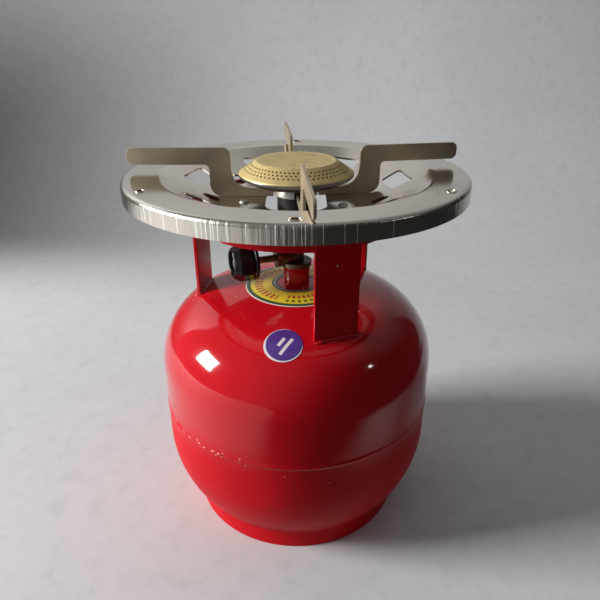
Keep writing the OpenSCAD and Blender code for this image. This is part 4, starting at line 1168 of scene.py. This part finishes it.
class STOVE_OT_burner(StoveOperator, bpy.types.Operator):
    """Burner cap with its flame holes, the bowl below it, the mixing tube and the air shutter"""

    bl_idname = "stove.burner"
    bl_label = "Burner"

    def make(self, s, c):
        self.cap(s)
        t = s.bowl_t
        rim_low = LIP_Z - s.bowl_rim_h
        collar_in = 13.05 * MM
        collar_out = collar_in + t
        collar_top = BOWL_LOW + 4.9 * MM
        belly_r = (BOWL_R + collar_out) / 2 + 4 * MM
        belly_z = BOWL_LOW + 1.4 * MM
        bowl = rounded([
            (BOWL_R, LIP_Z, 0.4 * MM), (BOWL_R, rim_low, 1.7 * MM), (belly_r, belly_z, 4 * MM),
            (collar_in, BOWL_LOW, 0.5 * MM), (collar_in, collar_top, 0), (collar_out, collar_top, 0),
            (collar_out, BOWL_LOW + t, 0), (belly_r, belly_z + t, 4 * MM),
            (BOWL_R - t, rim_low + t, 0.5 * MM), (BOWL_R - t, LIP_Z, 0.4 * MM),
        ])
        add_piece("burner_dish", revolve(bowl, 144), "burner_steel", ["burner_bowl"])
        dress("mixing_tube", "black_steel")
        dress("air_shutter", "zinc_steel")
        dress("jet_holder", "valve_brass")
        dress("gas_jet", "valve_brass")

    def cap(self, s):
        """Dished top with a beaded edge, a slope of drilled rows that ends in a turned-down edge."""
        top = LIP_Z + s.cap_h
        low_r, low_z = CAP_R - 0.7 * MM, LIP_Z + 0.9 * MM
        steps = 4 * s.port_count
        bead_r = s.cap_top_r - 1.4 * MM
        rise = 0.5 * MM

        def beaded(r, z, a):
            share = max(0.0, 1 - abs(r - bead_r) / (0.9 * MM))
            patchy = min(1.0, max(0.0, 0.6 + 0.9 * ripple(cos(a), sin(a), 2.0, 4.0)))
            dent = 0.35 * MM * ripple(r * 90 * cos(a), r * 90 * sin(a), 4.0, 1.6) * min(1.0, r / (6 * MM))
            held = min(1.0, max(0.0, (bead_r - r) / (2 * MM)))
            return r, z + rise * share * patchy * max(0.0, cos(s.port_count // 2 * a)) + dent * held

        dish = [(0.0005 * MM, top - s.cap_dish)]
        dish += [(r, top - s.cap_dish * (1 - (r / bead_r) ** 2) - 0.5 * MM * (r / bead_r))
                 for r in [bead_r * i / 14 for i in range(1, 13)]]
        dish += [(bead_r - 0.9 * MM, top - 0.55 * MM), (bead_r - 0.45 * MM, top - 0.5 * MM),
                 (bead_r, top - 0.5 * MM), (bead_r + 0.45 * MM, top - 0.46 * MM),
                 (bead_r + 0.9 * MM, top - 0.44 * MM), (s.cap_top_r, top - 0.6 * MM)]
        slope = [Vector((s.cap_top_r, top - 0.6 * MM)), Vector((low_r, low_z))]
        run = (slope[1] - slope[0]).normalized()
        inward = Vector((run.y, -run.x)) * s.cap_t
        inner = [p + inward for p in slope]
        lip = [tuple(slope[1]), (CAP_R - 0.25 * MM, low_z - 0.3 * MM), (CAP_R, LIP_Z + 0.3 * MM),
               (CAP_R, LIP_Z), (CAP_R - s.cap_t, LIP_Z), tuple(inner[1])]
        under = [tuple(inner[0]), (bead_r - 2 * MM, top - s.cap_dish - s.cap_t),
                 (0.0005 * MM, top - s.cap_dish - 1.6 * s.cap_t)]
        bm = revolve(dish, steps, beaded, closed=False)
        merged(bm, self.drilled(s, slope, inward))
        merged(bm, revolve(lip, steps, closed=False))
        merged(bm, revolve(under, steps, closed=False))
        bmesh.ops.remove_doubles(bm, verts=bm.verts, dist=2e-6)
        bmesh.ops.recalc_face_normals(bm, faces=bm.faces)
        add_piece("burner_cap_drilled", bm, "burner_brass", ["burner_cap"], sharp=50)

    def drilled(self, s, slope, inward):
        """Sloped sheet, plain along both edges, with rows of round holes right through it."""
        bm = bmesh.new()
        per_side = 4
        cell = tau / s.port_count
        run = slope[1] - slope[0]
        band0, band1 = 0.17, 0.79

        def point(turn, t, depth):
            p = slope[0] + run * t + inward * depth
            return bm.verts.new((p.x * cos(turn), p.x * sin(turn), p.y))

        for t0, t1 in ((0.0, band0), (band1, 1.0)):
            for depth in (0.0, 1.0):
                turns = [cell * k / per_side for k in range(per_side * s.port_count)]
                bridge(bm, [[point(a, t, depth) for a in turns] for t in (t1, t0)])
        for row in range(s.port_rows):
            t0, t1 = (band0 + (band1 - band0) * (row + k) / s.port_rows for k in (0, 1))
            mid = (t0 + t1) / 2
            reach = (slope[0] + run * mid).x
            for i in range(s.port_count):
                a0 = cell * (i + 0.5 * (row % 2))
                edge = []
                for k in range(4 * per_side):
                    side, f = k // per_side, (k % per_side) / per_side
                    u, v = ((f, 0), (1, f), (1 - f, 1), (0, 1 - f))[side]
                    edge.append((a0 + cell * u, t0 + (t1 - t0) * v))
                ring = []
                for u, v in edge:
                    away = atan2((v - mid) * run.length, (u - a0 - cell / 2) * reach)
                    ring.append((a0 + cell / 2 + s.port_d / 2 * cos(away) / reach,
                                 mid + s.port_d / 2 * sin(away) / run.length))
                rims = [[point(u, v, depth) for u, v in ring] for depth in (0.0, 1.0)]
                for depth, rim in enumerate(rims):
                    bridge(bm, [rim, [point(u, v, depth) for u, v in edge]])
                bridge(bm, rims[::-1])
        return bm


class STOVE_OT_valve(StoveOperator, bpy.types.Operator):
    """Valve body, gland, seal and spindle"""

    bl_idname = "stove.valve"
    bl_label = "Valve"

    def make(self, s, c):
        for node in ("valve_body", "gland_nut", "spindle"):
            dress(node, "valve_brass")
        for node in ("gland_seal", "seat_pad"):
            dress(node, "seal_rubber")


class STOVE_OT_knob(StoveOperator, bpy.types.Operator):
    """Moulded knob with flats, a round flange and a recessed face, and its screw"""

    bl_idname = "stove.knob"
    bl_label = "Knob"

    def make(self, s, c):
        along = Vector((sin(s.spindle_az), -cos(s.spindle_az), 0))
        root = min(v.co.dot(along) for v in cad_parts["knob"].data.vertices)
        # Distance from the flange and radius in millimetres, and how far the flats cut in.
        rows = [
            (0.2, 2.6, 0), (0.0, 3.0, 0), (0.0, 12.5, 0), (0.15, 12.9, 0), (0.5, 13.25, 0), (1.1, 13.45, 0),
            (1.7, 13.45, 0), (2.2, 13.3, 0), (2.5, 12.9, 0), (2.7, 12.45, 0.5), (3.0, 12.3, 0.9),
            (3.4, 12.5, 1), (3.9, 12.9, 1), (4.6, 13.1, 1), (8.5, 13.05, 1), (12.0, 12.9, 1),
            (12.6, 12.75, 1), (13.0, 12.5, 1), (16.0, 10.9, 0.85), (16.6, 10.5, 0.6), (16.95, 10.0, 0.35),
            (17.0, 9.2, 0.1), (16.85, 8.8, 0), (16.4, 8.55, 0), (14.2, 8.4, 0), (13.7, 8.2, 0), (13.5, 7.8, 0), (13.5, 1.5, 0),
        ]
        around = 160
        bm = bmesh.new()
        loops = []
        half = pi / s.knob_flats
        for u, r, flat in rows:
            loop = []
            for i in range(around):
                a = tau * i / around
                near = (a + half) % (2 * half) - half
                corner = cos(half) / cos(near) if flat else 1.0
                soft = min(1.0, corner ** 1.25 + 0.004)
                reach = r * (1 + flat * (soft - 1)) * MM
                spot = along * (root + u * MM) + Vector((0, 0, SPINDLE_Z - reach * cos(a)))
                side = Vector((cos(s.spindle_az), sin(s.spindle_az), 0))
                loop.append(bm.verts.new(spot + side * reach * sin(a)))
            loops.append(loop)
        bridge(bm, loops)
        bmesh.ops.recalc_face_normals(bm, faces=bm.faces)
        add_piece("knob_moulded", bm, "knob_black", ["knob"], body="handwheel", sharp=50)
        dress("knob_screw", "zinc_steel")


class STOVE_OT_fasteners(StoveOperator, bpy.types.Operator):
    """Screws and nuts that hold the pan to the stand"""

    bl_idname = "stove.fasteners"
    bl_label = "Fasteners"

    def make(self, s, c):
        dress("pan_screws", "zinc_steel")
        dress("pan_nuts", "zinc_steel")


class STOVE_OT_stage(StoveOperator, bpy.types.Operator):
    """Floor and backdrop, two lamps, room light, and the camera at the photograph's view"""

    bl_idname = "stove.stage"
    bl_label = "Stage"

    def make(self, s, c):
        scene = bpy.context.scene
        scene.view_settings.view_transform = "Standard"
        self.backdrop(c)
        self.lamp("window_lamp", power=116.0, place=(-2.60, -0.30, 1.24), target=(0, 0, 0.14),
                  size=(0.90, 0.80))
        self.lamp("small_lamp", power=0.3, place=(1.10, -0.46, 0.80), target=(0, 0, 0.15),
                  size=(0.07, 0.07))
        self.sky()
        camera = bpy.data.cameras.new("camera")
        camera.sensor_width = 36.0
        camera.lens = 34.1
        camera.clip_start = 0.01
        eye = bpy.data.objects.new("camera", camera)
        eye.location = (0.0025, -0.3786, 0.3485)
        eye.rotation_euler = (radians(63.99), 0, 0)
        scene.collection.objects.link(eye)
        scene.camera = eye

    def backdrop(self, c):
        """Table top that sweeps up into a wall behind the stove."""
        near, back, sweep, tall = -1.8, 0.55, 0.40, 1.6
        left, right = -1.7, 1.05
        section = [(near, 0), *arc(back, sweep, sweep, -pi / 2, 0, 24), (back + sweep, tall)]
        bm = bmesh.new()
        rows = [[bm.verts.new((x, y, z)) for x in (left, right)] for y, z in section]
        for a, b in zip(rows, rows[1:]):
            bm.faces.new((a[0], a[1], b[1], b[0]))
        mesh = bpy.data.meshes.new("stage_floor")
        bm.to_mesh(mesh)
        bm.free()
        mesh.shade_smooth()
        mesh.materials.append(stage_finish(c))
        floor = bpy.data.objects.new("stage_floor", mesh)
        bpy.context.scene.collection.objects.link(floor)

    def lamp(self, name, power, place, target, size):
        """Flat lamp at a place, turned to a target."""
        light = bpy.data.lights.new(name, "AREA")
        light.shape = "RECTANGLE"
        light.size, light.size_y = size
        light.energy = power
        lamp = bpy.data.objects.new(name, light)
        lamp.location = place
        aim = Vector(target) - Vector(place)
        lamp.rotation_euler = aim.to_track_quat("-Z", "Y").to_euler()
        bpy.context.scene.collection.objects.link(lamp)

    def sky(self):
        """Room light: pale to the left, behind and above, dark in front and to the right."""
        f = Finish(bpy.data.worlds.new("studio"))
        way = f.node("ShaderNodeTexCoord", out="Generated")
        left = f.step(f.along(way, (0, 0, 0), (-0.90, -0.20, 0.38)), 0.0, 0.75)
        above = f.step(f.along(way, (0, 0, 0), (0.35, 0.30, 0.89)), 0.65, 0.96)
        tone = f.mix(left, (0.026, 0.026, 0.027), (0.20, 0.205, 0.215))
        tone = f.mix(above, tone, (0.215, 0.22, 0.225))
        back = f.node("ShaderNodeBackground", None, {"Color": tone, "Strength": 1.0})
        bpy.context.scene.world = f.end("ShaderNodeOutputWorld", back)


PIECES = (
    STOVE_OT_stage, STOVE_OT_bottle, STOVE_OT_labels, STOVE_OT_stand, STOVE_OT_pan, STOVE_OT_supports,
    STOVE_OT_burner, STOVE_OT_valve, STOVE_OT_knob, STOVE_OT_fasteners,
)


class STOVE_PT_panel(bpy.types.Panel):
    """Lists the stove's pieces in the sidebar"""

    bl_idname = "STOVE_PT_panel"
    bl_label = "Gas stove"
    bl_space_type = "VIEW_3D"
    bl_region_type = "UI"
    bl_category = "Stove"

    def draw(self, context):
        for operator in PIECES:
            self.layout.operator(operator.bl_idname)
        for group in (context.scene.stove_sizes, context.scene.stove_colours):
            box = self.layout.box()
            for name in group.__annotations__:
                box.prop(group, name)


CLASSES = (StoveSizes, StoveColours, *PIECES, STOVE_PT_panel)


def register():
    for made in CLASSES:
        bpy.utils.register_class(made)
    bpy.types.Scene.stove_sizes = PointerProperty(type=StoveSizes)
    bpy.types.Scene.stove_colours = PointerProperty(type=StoveColours)


def unregister():
    del bpy.types.Scene.stove_colours
    del bpy.types.Scene.stove_sizes
    for made in reversed(CLASSES):
        bpy.utils.unregister_class(made)


def main():
    register()
    for operator in PIECES:
        group, name = operator.bl_idname.split(".")
        getattr(getattr(bpy.ops, group), name)()


if __name__ == "__main__":
    main()
